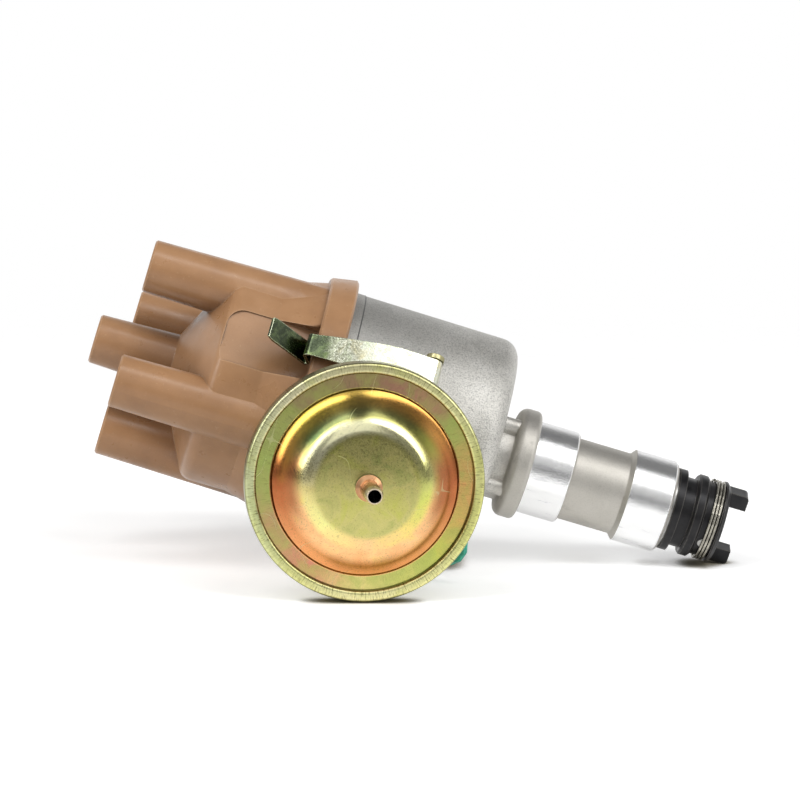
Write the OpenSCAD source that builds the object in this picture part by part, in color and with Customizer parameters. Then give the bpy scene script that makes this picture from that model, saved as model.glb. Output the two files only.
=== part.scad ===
// Ignition distributor with centrifugal and vacuum advance, for a four-cylinder engine.
// Millimetres. +Z runs up the drive shaft to the cap, the origin lies on the shaft's axis at the collar's
// seating face, and the vacuum capsule points along -Y. The rotor turns clockwise seen from the cap.

/* [Shank and collar] */
// Diameter of the two machined lands that locate in the engine
land_d = 27; // [26:0.5:30]
// Length of the land next to the collar
upper_land_len = 12.1; // [8:0.1:16]
// Length of the cast relief between the lands
relief_len = 17; // [10:0.1:24]
// Length of the lower land
lower_land_len = 12.8; // [8:0.1:16]
// Diameter of the cast relief
relief_d = 24; // [21:0.5:25]
// Diameter of the collar
collar_d = 32; // [31:0.5:36]
// Height of the collar
collar_h = 6.5; // [5:0.5:8]
// Diameter of the neck between collar and bowl
neck_d = 23.4; // [21:0.2:25]
// Height of the neck, where the engine's clamp fork goes
neck_h = 4.1; // [3:0.1:8]
// Width of the neck's four ribs
neck_rib_w = 4.8; // [3:0.2:6]

/* [Bowl] */
// Outer diameter of the bowl's rim
bowl_d = 67.6; // [66:0.2:71]
// Height of the bowl over its underside
bowl_h = 51; // [49:0.2:57]
// Wall of the bowl
bowl_wall = 3.4; // [2.8:0.1:3.6]
// Thickness of the bowl's floor
bowl_floor = 4.4; // [3:0.2:6]
// Radius of the bowl's lower edge
bowl_corner = 5; // [3:0.5:8]
// How much narrower the bowl's radius is at its foot
bowl_draft = 0.6; // [0.2:0.1:1]
// Depth of the step that takes the cap's spigot
register_depth = 3.2; // [2:0.2:4]

/* [Cap] */
// Diameter of the cap's lower band
band_d = 74.4; // [72:0.2:78]
// Height of the band
band_h = 8; // [7:0.5:11]
// Diameter of the cap's body between the towers
cap_body_d = 62.6; // [61:0.2:64]
// Wall of the cap
cap_wall = 2.9; // [2.4:0.1:3.2]
// Distance of the outer towers' axes in from the cap body's edge
tower_inset = 5.3; // [4.8:0.1:5.8]
// Diameter of a tower
tower_d = 15.2; // [14.5:0.1:16]
// Height of the outer towers over the bowl's rim
tower_h = 59; // [54:0.5:66]
// Height of the centre tower over the bowl's rim
centre_tower_h = 68; // [63:0.5:75]
// Height of the shoulder round the centre tower over the bowl's rim
shoulder_h = 45; // [42:0.5:47]
// Diameter of the lead sockets
lead_bore_d = 8.2; // [7:0.1:9]
// Depth of the lead sockets
lead_bore_depth = 20; // [16:0.5:22]
// Direction of the first outer tower, in degrees
tower_start = -16.5; // [-22:0.5:-10]

/* [Shaft and cam] */
// Diameter of the drive shaft
shaft_d = 12.7; // [12:0.1:13]
// Wall of the two bushes
bush_wall = 1.6; // [1.2:0.1:2]
// Length of each bush
bush_len = 16; // [10:1:18]
// Diameter of the shaft's upper spigot, which carries the cam sleeve
spigot_d = 8; // [7:0.1:8.4]
// Diameter over the cam's lobes
cam_lobe_d = 20; // [19:0.1:21]
// Width over the cam's flats
cam_flat_w = 17.2; // [16.4:0.1:18]
// Height of the cam
cam_h = 9; // [8:0.5:10]

/* [Centrifugal advance] */
// Radius at which the weights pivot
weight_pivot_r = 20; // [19.5:0.1:20.5]
// Radius at which their toe pins drive the cam foot
toe_r = 9; // [8.8:0.1:9.4]
// Swing of a weight from rest to stop, in degrees
weight_swing = 10; // [8:1:10]
// Thickness of a weight
weight_t = 4.5; // [3.5:0.1:5]
// Outer radius of a weight at rest
weight_r = 24; // [22.5:0.5:24.5]

/* [Breaker plate and contacts] */
// Depth of the base plate below the bowl's rim
base_drop = 18.6; // [17.6:0.2:19.6]
// Thickness of the base plate and of the breaker plate
plate_t = 1.5; // [1.2:0.1:1.8]
// Radius of the breaker plate
breaker_r = 24; // [23.5:0.1:24.2]
// Radius at which the capsule's rod pulls the breaker plate
breaker_pin_r = 21.8; // [21:0.1:22]
// Turn of the breaker plate under full vacuum, in degrees
vacuum_turn = 12; // [8:1:12]
// Opening of the contacts on a lobe
contact_gap = 0.45; // [0.3:0.05:0.6]
// Direction of the contact set, in degrees
contact_dir = 45; // [45:90:315]

/* [Vacuum capsule] */
// Sideways place of the capsule's axis
vac_x = -11.6; // [-12.4:0.1:-10]
// Tilt of the capsule towards the drive end, in degrees
vac_tilt = 4; // [0:0.5:5]
// Diameter over the rolled rim
rim_d = 66; // [62:0.5:70]
// Width of the rolled lip seen from the front
lip_w = 3.1; // [2.5:0.1:4]
// Depth of the capsule from its mounting pad to the front of its rim
capsule_depth = 22; // [20:0.5:26]
// Diameter of the dome at its foot
dome_d = 52; // [48:0.5:54]
// Height of the dome
dome_h = 12; // [9:0.5:14]
// Thickness of the capsule's sheet
sheet_t = 1.1; // [0.8:0.1:1.4]
// Length of the hose nipple over the dome
nipple_len = 16; // [12:0.5:20]
// Diameter of the nipple's end
nipple_d = 5; // [4.6:0.1:6]

/* [Clips] */
// Width of a clip at its hook
clip_hook_w = 6.5; // [6:0.5:8]
// Width of a clip at its root
clip_root_w = 10.5; // [9:0.5:11]
// Thickness of the clip's strip
clip_t = 0.8; // [0.6:0.1:1]
// Length of the finger tab
tab_len = 15.5; // [12:0.5:18]
// Direction of the front clip, in degrees
clip_dir = -61.5; // [-64:0.5:-60]

/* [Drive coupling] */
// Diameter of the coupling's flange and rims
coupling_d = 24; // [23:0.5:26]
// Length of the coupling without its dogs
coupling_len = 15.4; // [15:0.1:18]
// Length of a dog
dog_len = 5.6; // [4:0.2:7]
// Width of a dog
dog_w = 5.3; // [4:0.1:6.5]
// Direction of the first dog, in degrees
dog_dir = -16; // [-90:1:90]
// Diameter of the cross pin
coupling_pin_d = 3; // [2.6:0.1:3.2]
// Direction of the cross pin, in degrees
coupling_pin_dir = -125; // [-180:1:0]
// Diameter of the retaining wire
ring_wire_d = 0.8; // [0.6:0.1:0.9]

/* [Condenser] */
// Diameter of the condenser can
condenser_d = 14; // [12:0.5:14]
// Length of the condenser can
condenser_len = 22; // [18:0.5:23]
// Diameter of its lead
lead_d = 2.2; // [1.8:0.1:2.6]

/* [Hidden] */

$fn = 72;
arc_steps = 8;
// Overrun of every cut
cut = 1;
// Radial clearance of a running fit
run_gap = 0.05;
// Gap between parts that move past each other
free_gap = 0.3;

// Heights of the casting
z_neck = collar_h;
z_bowl = z_neck + neck_h;
z_floor = z_bowl + bowl_floor;
z_rim = z_bowl + bowl_h;
z_relief_foot = -(upper_land_len + relief_len);
z_shank_end = z_relief_foot - lower_land_len;

// Casting details
bowl_r = bowl_d / 2;
in_r = bowl_r - bowl_wall;
register_step = 0.8;
register_r = in_r + register_step;
bowl_rise = 1.3;
rim_band_h = 2.9;
rim_step = 0.15;
pad_lift = 0.8;
floor_fillet = 2.5;
collar_top_edge = 2.6;
collar_foot_edge = 1.4;
neck_rib_over = 1.5;
neck_rib_pitch_r = land_d / 2 + neck_rib_over - neck_rib_w / 2;
neck_rib_dir = 55;
neck_rib_sink = 1;
flare_h = 1.3;
land_edge = 0.6;
shank_edge = 0.8;

// Shaft and bushes
shaft_r = shaft_d / 2;
bush_in_r = shaft_r + run_gap;
bush_r = bush_in_r + bush_wall;
spigot_r = spigot_d / 2;
sleeve_in_r = spigot_r + run_gap;
thrust_washer_t = 1.2;
thrust_washer_r = 12;
plate_lift = 0.5;
z_plate = z_floor + thrust_washer_t + plate_lift;
weight_plate_t = 1.6;
weight_plate_r = 15;
z_weight = z_plate + weight_plate_t + free_gap;
foot_gap = 0.5;
z_foot = z_weight + weight_t + foot_gap;
foot_t = 1.6;
shaft_step_gap = 0.1;

// Base plate, breaker plate and contacts
z_base = z_rim - base_drop;
slip_gap = 0.5;
z_breaker = z_base + plate_t + slip_gap;
z_set = z_breaker + plate_t;
lug_r = 3.6;
lug_h = 12;
lug_bite = 0.9;
lug_pitch_r = in_r - lug_r + lug_bite;
lug_dirs = [-40, 80, 200];
m3_tap_r = 1.4;
m3_head_r = 2.6;
m3_head_h = 1.8;
m3_len = 7;
base_edge_gap = 0.5;
hub_wall = 1.8;
hub_in_r = 11.2;
hub_r = hub_in_r + hub_wall;
breaker_foot_r = 1.5;
breaker_foot_pitch_r = 18;
breaker_pin_rad = 1.5;
breaker_pin_h = 3.9;
cam_bottom_gap = 0.5;
z_cam = z_set + cam_bottom_gap;
z_cam_top = z_cam + cam_h;
set_r = 15;
set_reach = 12;
contact_face_r = 1.8;
contact_button_t = 0.7;
arm_lift = 3.3;
z_arm = z_set + arm_lift;
arm_h = 4.4;
arm_t = 2;
arm_boss_r = 3.2;
block_len = 3.2;
block_w = 4;
post_r = 1.6;
button_reach = 11.5;
// Inner face of the arm, in the frame of the contact set
arm_face = cam_lobe_d / 2 + free_gap + block_len - set_r;
button_y = -set_reach - button_reach;

// Cam sleeve, rotor and screw
sleeve_r = 6.5;
sleeve_waist_r = 6.8;
sleeve_over_cam = 10;
z_sleeve_top = z_cam_top + sleeve_over_cam;
shaft_over_cam = 2;
z_shaft_top = z_cam_top + shaft_over_cam;
counterbore_r = 5.1;
screw_head_h = 2.4;
felt_h = 2.2;
rotor_gap = 1.2;
z_rotor = z_cam_top + rotor_gap;
rotor_boss_r = 9;
rotor_skirt_h = 13;
rotor_arm_t = 3.2;
rotor_arm_w = 12;
rotor_arm_r = 20.5;
z_electrode = z_rotor + rotor_skirt_h + rotor_arm_t;
electrode_t = 1.2;
electrode_w = 7;
electrode_tail = 4.5;
spark_gap = 0.7;

// Cap
z_band = z_rim + band_h;
band_r = band_d / 2;
band_draft = 1.2;
band_edge = 0.6;
cap_body_r = cap_body_d / 2;
tower_circle_r = cap_body_r - tower_inset;
cap_flare = 3;
cap_flare_h = 12;
cap_corner = 4;
cone_slope = 26.5;
tower_r = tower_d / 2;
tower_draft = 1;
tower_edge = 0.5;
z_shoulder = z_rim + shoulder_h;
z_tower = z_rim + tower_h;
z_centre = z_rim + centre_tower_h;
cone_end_r = cap_body_r - cap_corner + cap_corner * cos(90 - cone_slope);
z_corner = z_shoulder - (cone_end_r - tower_r) * tan(cone_slope) - cap_corner * sin(90 - cone_slope);
cavity_r = cap_body_r - cap_wall;
roof_h = 26.4;
z_roof = z_rim + roof_h;
roof_corner = 3;
spigot_gap = 0.1;
spigot_h = register_depth - spigot_gap;
socket_r = lead_bore_d / 2;
z_socket = z_tower - lead_bore_depth;
z_centre_socket = z_centre - lead_bore_depth;
side_terminal_r = 2.2;
side_terminal_drop = 17;
brush_r = 2.4;
brush_boss_r = 5;
brush_boss_drop = 6;
brush_len = 11;
brush_gap = 0.3;
z_brush = z_electrode + electrode_t + brush_gap;
brush_spring_len = 8;
brush_spring_turns = 8;
brush_wire_d = 0.6;
z_brush_top = z_brush + brush_len;
z_centre_terminal = z_brush_top + brush_spring_len;
recess_w = 16.4;
recess_h = 25.5;
recess_edge = 5;
recess_small_edge = 1.2;
recess_depth = 1.5;

// Advance weights: the toe pin swings evenly to both sides of the line from pivot to shaft
toe_arm = weight_pivot_r - toe_r;
half_swing = weight_swing / 2;
toe_x = weight_pivot_r - toe_arm * cos(half_swing);
toe_y = toe_arm * sin(half_swing);
toe_pin_r = 1.2;
toe_boss_r = 2.2;
toe_arm_w = 3.6;
toe_slack = 0.35;
weight_post_r = 2;
weight_boss_r = 4.2;
weight_in_r = 10.5;
weight_tail_dir = -95;
weight_head_dir = -8;
spring_post_r = 1;
spring_post_dir = 49;
spring_post_pitch = 20;
foot_arm_w = 8;
foot_post_r = 12;
foot_half_turn = 6;
spring_coil_r = 1.3;
spring_t = 0.6;
spring_eye_gap = 0.3;
spring_slot_len = 2.9;
z_spring = z_foot + foot_t + free_gap + spring_coil_r - spring_t / 2;
z_spring_post = z_spring + spring_t + free_gap;

// Vacuum capsule, built along its own axis from the plane of the shaft
rod_lift = 2.1;
vac_z = z_set + rod_lift;
pad_stand = 4.2;
pad_reach = bowl_r + pad_stand;
pad_depth = 20;
pad_root = pad_reach - pad_depth;
pad_w = 20;
pad_h = 20;
pad_edge = 3;
bracket_t = 1.6;
bracket_edge = 2.5;
vac_screw_x = 7.2;
vac_screw_drop = 6;
shell_neck_r = 6.3;
shell_neck_len = 4;
s_neck = pad_reach + bracket_t;
rim_r = rim_d / 2;
rim_front = pad_reach + capsule_depth;
dome_r = dome_d / 2;
lip_lift = 2;
s_ring = rim_front - lip_lift;
dome_sheet_t = 1.4;
diaphragm_t = 1;
s_dome = s_ring - dome_sheet_t;
s_diaphragm = s_dome - diaphragm_t;
s_flange = s_diaphragm - sheet_t;
pocket_gap = 1.1;
pocket_r = rim_r - pocket_gap;
sheet_r = pocket_r - run_gap;
pan_r = dome_r + 0.5 * sheet_t;
cone_drop = 5.5;
s_cone_foot = s_neck + shell_neck_len;
s_cone_top = s_flange - cone_drop;
rod_w = 5;
rod_t = 1.2;
rod_slot_gap = 1.2;
rod_bend_y = -20.5;
rod_run_y = -11;
rod_eye_r = 3.6;
rod_eye_gap = 0.3;
pin_dir = 180 - vacuum_turn / 2;
pin_x = breaker_pin_r * cos(pin_dir);
pin_y = breaker_pin_r * sin(pin_dir);
piston_r = 13.8;
piston_t = 2;
piston_boss_r = 4;
piston_boss_h = 2.4;
s_piston = s_diaphragm - 0.5 * diaphragm_t;
dome_steps = 20;
inner_dome_r = dome_r - dome_sheet_t;
return_spring_r = 8.5;
return_wire_d = 1.2;
return_turns = 5;
nipple_bore_r = 1.75;
nipple_stem_r = 2.1;
nipple_foot_r = 3.7;
nipple_foot_h = 1.2;
barb_len = 3;

// Clips: distances are from the shaft's axis, along the clip's direction
clip_pad_r = bowl_r + pad_lift;
clip_pad_w = 15;
clip_pad_drop = 28;
clip_pad_h = 13;
clip_bracket_t = 0.9;
clip_pin_drop = 25;
clip_pin_r = 1.5;
clip_eye_r = clip_pin_r + run_gap + clip_t;
eye_lift = 1.5;
clip_pin_rho = clip_pad_r + clip_bracket_t + clip_eye_r + eye_lift;
z_clip_pin = z_rim - clip_pin_drop;
ear_t = 1.3;
ear_gap = 0.3;
ear_reach = 2.6;
bow = 1.8;
bow_steps = 10;
hook_bend_r = 1.2;
fold_bend_r = 0.8;
hook_clear = 0.4;
hook_rho = band_r + hook_clear;
fold_clear = 1.7;
fold_rho = cap_body_r + fold_clear;
z_fold = z_band + free_gap + clip_t / 2 + fold_bend_r;
tab_angle = 49;
tab_edge = 1.5;
rivet_r = 1.5;
rivet_head_r = 2.4;
rivet_head_h = 0.8;
rivet_drop = 19.5;

// Drive coupling
shim_t = 0.8;
z_coupling = z_shank_end - shim_t;
shim_r = 11.4;
coupling_r = coupling_d / 2;
flange_len = 2.3;
groove_len = 3.5;
groove_r = 10.2;
mid_ring_len = 3.3;
wire_groove_r = 10.8;
wire_groove_len = 4.8;
nose_edge = 0.9;
mid_edge = 0.6;
z_mid_ring = z_coupling - flange_len - groove_len;
z_wire_groove = z_mid_ring - mid_ring_len;
z_nose = z_coupling - coupling_len;
dog_inset = 0.2;
dog_in = shaft_r + dog_inset;
dog_out = 10.9;
dog_edge = 1.2;
shaft_recess = 1;
wire_turns = 3;
wire_pitch = 0.95;
wire_lift = 0.35;
pin_lift = 0.2;
ring_r = wire_groove_r + wire_lift + ring_wire_d / 2;
pin_drop = 2.1;
z_pin = z_wire_groove - pin_drop;
wire_drop = 1.4;
z_wire_start = z_wire_groove - wire_drop;
wire_sides = 8;
steps_per_turn = 24;

// Condenser and terminal block
condenser_drop = 35.6;
condenser_r = condenser_d / 2;
side_pad_r = bowl_r + pad_lift;
strap_t = 0.9;
strap_h = 8;
strap_tab_w = 8;
strap_tab_over = 8;
condenser_rho = side_pad_r + strap_t + condenser_r;
condenser_side = 19;
condenser_dir = -90 - asin((condenser_side - vac_x) / condenser_rho);
z_condenser = z_rim - condenser_drop;
block_width = 10;
block_h = 8;
block_stand = 7.2;
block_reach = bowl_r + block_stand;
block_side = 3.1;
block_dir = -90 - asin((block_side - vac_x) / block_reach);
block_hole_w = 7;
block_plug_in = 0.6;
block_drop = 33.6;
z_block = z_rim - block_drop;
// Radius of the bowl's outside at the block's upper edge
block_seat_r = bowl_r - bowl_draft + (bowl_draft - rim_step) * (z_block + block_h / 2 - z_bowl) / bowl_h;
spade_w = 6.3;
spade_t = 0.8;
spade_len = 9;
stud_r = 1.5;
// The condenser's lead, from the can's foot round to the terminal block
lead_route = [[-30.6, -29.5, 24.8], [-30.6, -29.5, 22], [-30.1, -30.3, 18.8], [-29, -31.9, 16],
    [-27.3, -33.5, 14.2], [-25, -34.9, 13.6], [-22.6, -35.9, 14.2], [-20.2, -36.4, 16.4],
    [-18, -36.2, 19.8], [-16.4, -35.8, 23.55]];

// Points of an arc about [x, y]
function arc(x, y, r, from, to) =
    [for (i = [0:arc_steps]) let (a = from + (to - from) * i / arc_steps) [x + r * cos(a), y + r * sin(a)]];

// A rectangle of w by h with round corners, centred on [x, y]
function round_rect(w, h, r, x = 0, y = 0) = concat(
    arc(x + w / 2 - r, y - h / 2 + r, r, -90, 0),
    arc(x + w / 2 - r, y + h / 2 - r, r, 0, 90),
    arc(x - w / 2 + r, y + h / 2 - r, r, 90, 180),
    arc(x - w / 2 + r, y - h / 2 + r, r, 180, 270));

function unit(v) = v / norm(v);
function left(v) = [-v[1], v[0]];

// The mitre at point i of a path
function mitre(p, i) =
    let (a = unit(i > 0 ? p[i] - p[i - 1] : p[1] - p[0]),
         b = i < len(p) - 1 ? unit(p[i + 1] - p[i]) : a,
         m = unit(left(a) + left(b)))
    m / (m * left(a));

// The outline of a strip of thickness t that follows a path
function ribbon(p, t) = concat(
    [for (i = [0:len(p) - 1]) p[i] + mitre(p, i) * t / 2],
    [for (i = [len(p) - 1:-1:0]) p[i] - mitre(p, i) * t / 2]);

// One ring of points round point i of a route
function tube_ring(p, i, r, side, sides) =
    let (t = unit(p[min(i + 1, len(p) - 1)] - p[max(i - 1, 0)]),
         a = unit(cross(t, side)),
         b = cross(t, a))
    [for (k = [0:sides - 1]) p[i] + r * (cos(360 * k / sides) * a + sin(360 * k / sides) * b)];

// A round tube along a route, with closed ends; side is never along the route
module tube(p, r, side, sides) {
    rings = len(p);
    points = [for (i = [0:rings - 1]) each tube_ring(p, i, r, side, sides)];
    walls = [for (i = [0:rings - 2], k = [0:sides - 1])
        let (n = (k + 1) % sides)
        [i * sides + k, i * sides + n, (i + 1) * sides + n, (i + 1) * sides + k]];
    first = [for (k = [sides - 1:-1:0]) k];
    last = [for (k = [0:sides - 1]) (rings - 1) * sides + k];
    polyhedron(points, concat([first], walls, [last]));
}

// A disc from z to z + h
module disc(r, z, h) {
    translate([0, 0, z])
        cylinder(r = r, h = h);
}

// A ring from z to z + h
module ring(outer, inner, z, h) {
    difference() {
        disc(outer, z, h);
        disc(inner, z - cut, h + 2 * cut);
    }
}

// A block that reaches from the shaft's axis out to reach, in direction dir, centred on height z
module spoke(dir, reach, w, h, z) {
    rotate([0, 0, dir])
        translate([0, -w / 2, z - h / 2])
            cube([reach, w, h]);
}

// A shape drawn sideways and upwards, standing at rho in direction dir and t thick outwards
module plaque(dir, rho, t) {
    rotate([0, 0, dir])
        translate([rho, 0, 0])
            rotate([90, 0, 90])
                linear_extrude(t)
                    children();
}

// A pin that points outwards in direction dir at height z
module radial_pin(dir, rho, z, r, len) {
    rotate([0, 0, dir])
        translate([rho, 0, z])
            rotate([0, 90, 0])
                cylinder(r = r, h = len);
}

// A coil as rows of wire, revolved; from z to z + len
module coil(r, wire, z, len, turns) {
    pitch = len / turns;
    valley = r + wire / 4;
    rotate_extrude()
        polygon(concat(
            [[r - wire / 2, z]],
            [for (i = [0:turns - 1]) each [[valley, z + i * pitch], [r + wire / 2, z + (i + 0.5) * pitch]]],
            [[valley, z + len], [r - wire / 2, z + len]]));
}

// The casting without its hollow
module casting_outline() {
    foot_r = bowl_r - bowl_draft;
    rotate_extrude()
        polygon(concat(
            [[0, z_shank_end], [land_d / 2 - shank_edge, z_shank_end], [land_d / 2, z_shank_end + shank_edge],
             [land_d / 2, z_relief_foot], [relief_d / 2, z_relief_foot + flare_h],
             [relief_d / 2, -upper_land_len], [land_d / 2 - land_edge, -upper_land_len],
             [land_d / 2, land_edge - upper_land_len], [land_d / 2, 0]],
            arc(collar_d / 2 - collar_foot_edge, collar_foot_edge, collar_foot_edge, -90, 0),
            arc(collar_d / 2 - collar_top_edge, collar_h - collar_top_edge, collar_top_edge, 0, 90),
            [[neck_d / 2, z_neck], [neck_d / 2, z_bowl]],
            arc(foot_r - bowl_corner, z_bowl + bowl_rise + bowl_corner, bowl_corner, -90, 0),
            [[bowl_r - rim_step, z_rim - rim_band_h], [bowl_r, z_rim - rim_band_h], [bowl_r, z_rim],
             [0, z_rim]]));
}

// The hollow of the bowl
module bowl_hollow() {
    rotate_extrude()
        polygon(concat(
            [[0, z_floor]],
            arc(in_r - floor_fillet, z_floor + floor_fillet, floor_fillet, -90, 0),
            [[in_r, z_rim - register_depth], [register_r, z_rim - register_depth],
             [register_r, z_rim + cut], [0, z_rim + cut]]));
}

// A rib of the neck, with a round outer edge
module neck_rib(dir) {
    foot = z_neck - neck_rib_sink;
    h = z_bowl + bowl_rise - foot;
    spoke(dir, neck_rib_pitch_r, neck_rib_w, h, foot + h / 2);
    rotate([0, 0, dir])
        translate([neck_rib_pitch_r, 0, foot])
            cylinder(r = neck_rib_w / 2, h = h);
}

// Die-cast bowl, neck, collar and shank
module housing() {
    color("darkgray")
        difference() {
            union() {
                difference() {
                    union() {
                        casting_outline();
                        for (i = [0:3])
                            neck_rib(neck_rib_dir + 90 * i);
                        capsule_frame()
                            translate([0, 0, pad_root])
                                linear_extrude(pad_reach - pad_root)
                                    polygon(round_rect(pad_w, pad_h, pad_edge));
                        for (side = [0, 180])
                            spoke(clip_dir + side, clip_pad_r, clip_pad_w, clip_pad_h,
                                z_rim - clip_pad_drop + clip_pad_h / 2);
                        spoke(condenser_dir, side_pad_r, strap_tab_w + band_edge, 2 * strap_tab_over,
                            z_condenser + condenser_len + strap_tab_over / 2);
                    }
                    bowl_hollow();
                }
                for (dir = lug_dirs)
                    rotate([0, 0, dir])
                        translate([lug_pitch_r, 0, z_base - lug_h])
                            cylinder(r = lug_r, h = lug_h);
            }
            disc(bush_r, z_shank_end - cut, z_floor - z_shank_end + 2 * cut);
            for (dir = lug_dirs)
                rotate([0, 0, dir])
                    translate([lug_pitch_r, 0, z_base - m3_len])
                        cylinder(r = m3_tap_r, h = m3_len + cut);
            rod_slot(pad_reach + cut);
            capsule_frame()
                for (side = [-1, 1])
                    translate([side * vac_screw_x, -vac_screw_drop, s_neck - m3_len])
                        cylinder(r = m3_tap_r, h = m3_len + cut);
            for (side = [0, 180])
                radial_pin(clip_dir + side, in_r - cut, z_rim - rivet_drop, rivet_r, bowl_wall + 2 * cut);
            radial_pin(condenser_dir, in_r - cut, z_condenser + condenser_len + strap_tab_over / 2, m3_tap_r,
                bowl_wall + 2 * cut);
            spoke(block_dir, bowl_r + cut, block_hole_w, block_hole_w, z_block);
        }
}

// The slot that lets the capsule's rod into the bowl
module rod_slot(reach) {
    translate([vac_x - rod_w / 2 - rod_slot_gap, -reach, vac_z - rod_t / 2 - rod_slot_gap])
        cube([rod_w + 2 * rod_slot_gap, reach, rod_t + 2 * rod_slot_gap]);
}

module upper_bush() {
    color("peru")
        ring(bush_r, bush_in_r, z_floor - bush_len, bush_len);
}

module lower_bush() {
    color("peru")
        ring(bush_r, bush_in_r, z_shank_end, bush_len);
}

// A lead tower with a slightly rounded mouth
module tower(z, h, foot_r, top_r) {
    translate([0, 0, z]) {
        cylinder(r1 = foot_r, r2 = top_r, h = h - tower_edge);
        translate([0, 0, h - tower_edge])
            cylinder(r1 = top_r, r2 = top_r - tower_edge, h = tower_edge);
    }
}

// Moulded cap: a coned body, four towers that run down its wall, a centre tower and two clip recesses
module distributor_cap() {
    recess_top = z_band + recess_h;
    z_terminal_hole = z_roof - roof_corner - cut;
    color([0.69, 0.53, 0.41])
        difference() {
            union() {
                rotate_extrude()
                    polygon(concat(
                        [[0, z_rim - spigot_h], [register_r - spigot_gap, z_rim - spigot_h],
                         [register_r - spigot_gap, z_rim], [band_r - band_edge, z_rim],
                         [band_r, z_rim + band_edge], [band_r - band_draft, z_band - band_edge],
                         [band_r - band_draft - band_edge, z_band], [cap_body_r + cap_flare, z_band],
                         [cap_body_r, z_band + cap_flare_h]],
                        arc(cap_body_r - cap_corner, z_corner, cap_corner, 0, 90 - cone_slope),
                        [[tower_r, z_shoulder], [0, z_shoulder]]));
                tower(z_roof, z_centre - z_roof, tower_r + tower_draft, tower_r - tower_draft / 2);
                for (i = [0:3])
                    rotate([0, 0, tower_start + 90 * i])
                        translate([tower_circle_r, 0, 0])
                            tower(z_rim + band_h / 2, tower_h - band_h / 2, tower_r + tower_draft, tower_r);
            }
            rotate_extrude()
                polygon(concat(
                    [[0, z_rim - spigot_h - cut], [cavity_r, z_rim - spigot_h - cut]],
                    arc(cavity_r - roof_corner, z_roof - roof_corner, roof_corner, 0, 90),
                    [[brush_boss_r, z_roof], [brush_boss_r, z_roof - brush_boss_drop],
                     [0, z_roof - brush_boss_drop]]));
            disc(brush_r + run_gap, z_roof - brush_boss_drop - cut,
                z_centre_terminal - z_roof + brush_boss_drop + cut);
            disc(side_terminal_r, z_centre_terminal - cut, z_centre_socket - z_centre_terminal + 2 * cut);
            disc(socket_r, z_centre_socket, lead_bore_depth + cut);
            for (i = [0:3])
                rotate([0, 0, tower_start + 90 * i])
                    translate([tower_circle_r, 0, 0]) {
                        disc(side_terminal_r, z_terminal_hole, z_socket - z_terminal_hole + cut);
                        disc(socket_r, z_socket, lead_bore_depth + cut);
                    }
            for (side = [0, 180])
                plaque(clip_dir + side, cap_body_r - recess_depth, band_r)
                    polygon(concat(
                        [[-recess_w / 2, z_band], [recess_w / 2, z_band]],
                        arc(recess_w / 2 - recess_edge, recess_top - recess_edge, recess_edge, 0, 90),
                        arc(recess_small_edge - recess_w / 2, recess_top - recess_small_edge,
                            recess_small_edge, 90, 180)));
        }
}

// Four inserts, from the sockets' floors down to the rotor's height
module cap_side_terminals() {
    foot = z_roof - side_terminal_drop;
    color("gold")
        for (i = [0:3])
            rotate([0, 0, tower_start + 90 * i])
                translate([tower_circle_r, 0, 0])
                    disc(side_terminal_r, foot, z_socket - foot);
}

module cap_centre_terminal() {
    color("gold")
        disc(side_terminal_r, z_centre_terminal, z_centre_socket - z_centre_terminal);
}

module carbon_brush() {
    color("dimgray")
        disc(brush_r, z_brush, brush_len);
}

module brush_spring() {
    color("silver")
        coil(brush_r - brush_wire_d, brush_wire_d, z_brush_top, brush_spring_len, brush_spring_turns);
}

// Rotor moulding, keyed over the cam sleeve, with its arm at rest below the first tower
module rotor_body() {
    color("saddlebrown")
        rotate([0, 0, tower_start])
            difference() {
                union() {
                    disc(rotor_boss_r, z_rotor, rotor_skirt_h + rotor_arm_t);
                    translate([0, -rotor_arm_w / 2, z_rotor + rotor_skirt_h])
                        cube([rotor_arm_r, rotor_arm_w, rotor_arm_t]);
                }
                disc(sleeve_r, z_rotor - cut, z_sleeve_top - z_rotor + cut);
            }
}

module rotor_electrode() {
    reach = tower_circle_r - side_terminal_r - spark_gap;
    color("gold")
        rotate([0, 0, tower_start])
            translate([-electrode_tail, -electrode_w / 2, z_electrode])
                cube([electrode_tail + reach, electrode_w, electrode_t]);
}

// Cam sleeve: slotted foot, waist, four-lobe cam and the seat of the rotor
module cam_sleeve() {
    color("lightslategray")
        difference() {
            union() {
                translate([0, 0, z_foot])
                    linear_extrude(foot_t) {
                        circle(r = foot_arm_w);
                        square([2 * foot_post_r, foot_arm_w], center = true);
                        for (side = [-1, 1])
                            translate([side * foot_post_r, 0])
                                circle(r = foot_arm_w / 2 - toe_slack);
                    }
                for (turn = [0, 180])
                    rotate([0, 0, turn + foot_half_turn])
                        translate([foot_post_r, 0, z_foot])
                            cylinder(r = spring_post_r, h = z_spring_post - z_foot);
                disc(sleeve_waist_r, z_foot, z_cam - z_foot + cam_bottom_gap);
                translate([0, 0, z_cam])
                    linear_extrude(cam_h)
                        intersection() {
                            circle(r = cam_lobe_d / 2);
                            square([cam_flat_w, cam_flat_w], center = true);
                        }
                disc(sleeve_r, z_cam_top - cam_bottom_gap, sleeve_over_cam + cam_bottom_gap);
            }
            disc(sleeve_in_r, z_foot - cut, z_sleeve_top - z_foot + 2 * cut);
            disc(counterbore_r, z_shaft_top - free_gap, z_sleeve_top - z_shaft_top + free_gap + cut);
            for (turn = [0, 180])
                rotate([0, 0, turn])
                    translate([toe_x, toe_y, z_foot - cut])
                        cylinder(r = toe_pin_r + toe_slack, h = foot_t + 2 * cut);
        }
}

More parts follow.
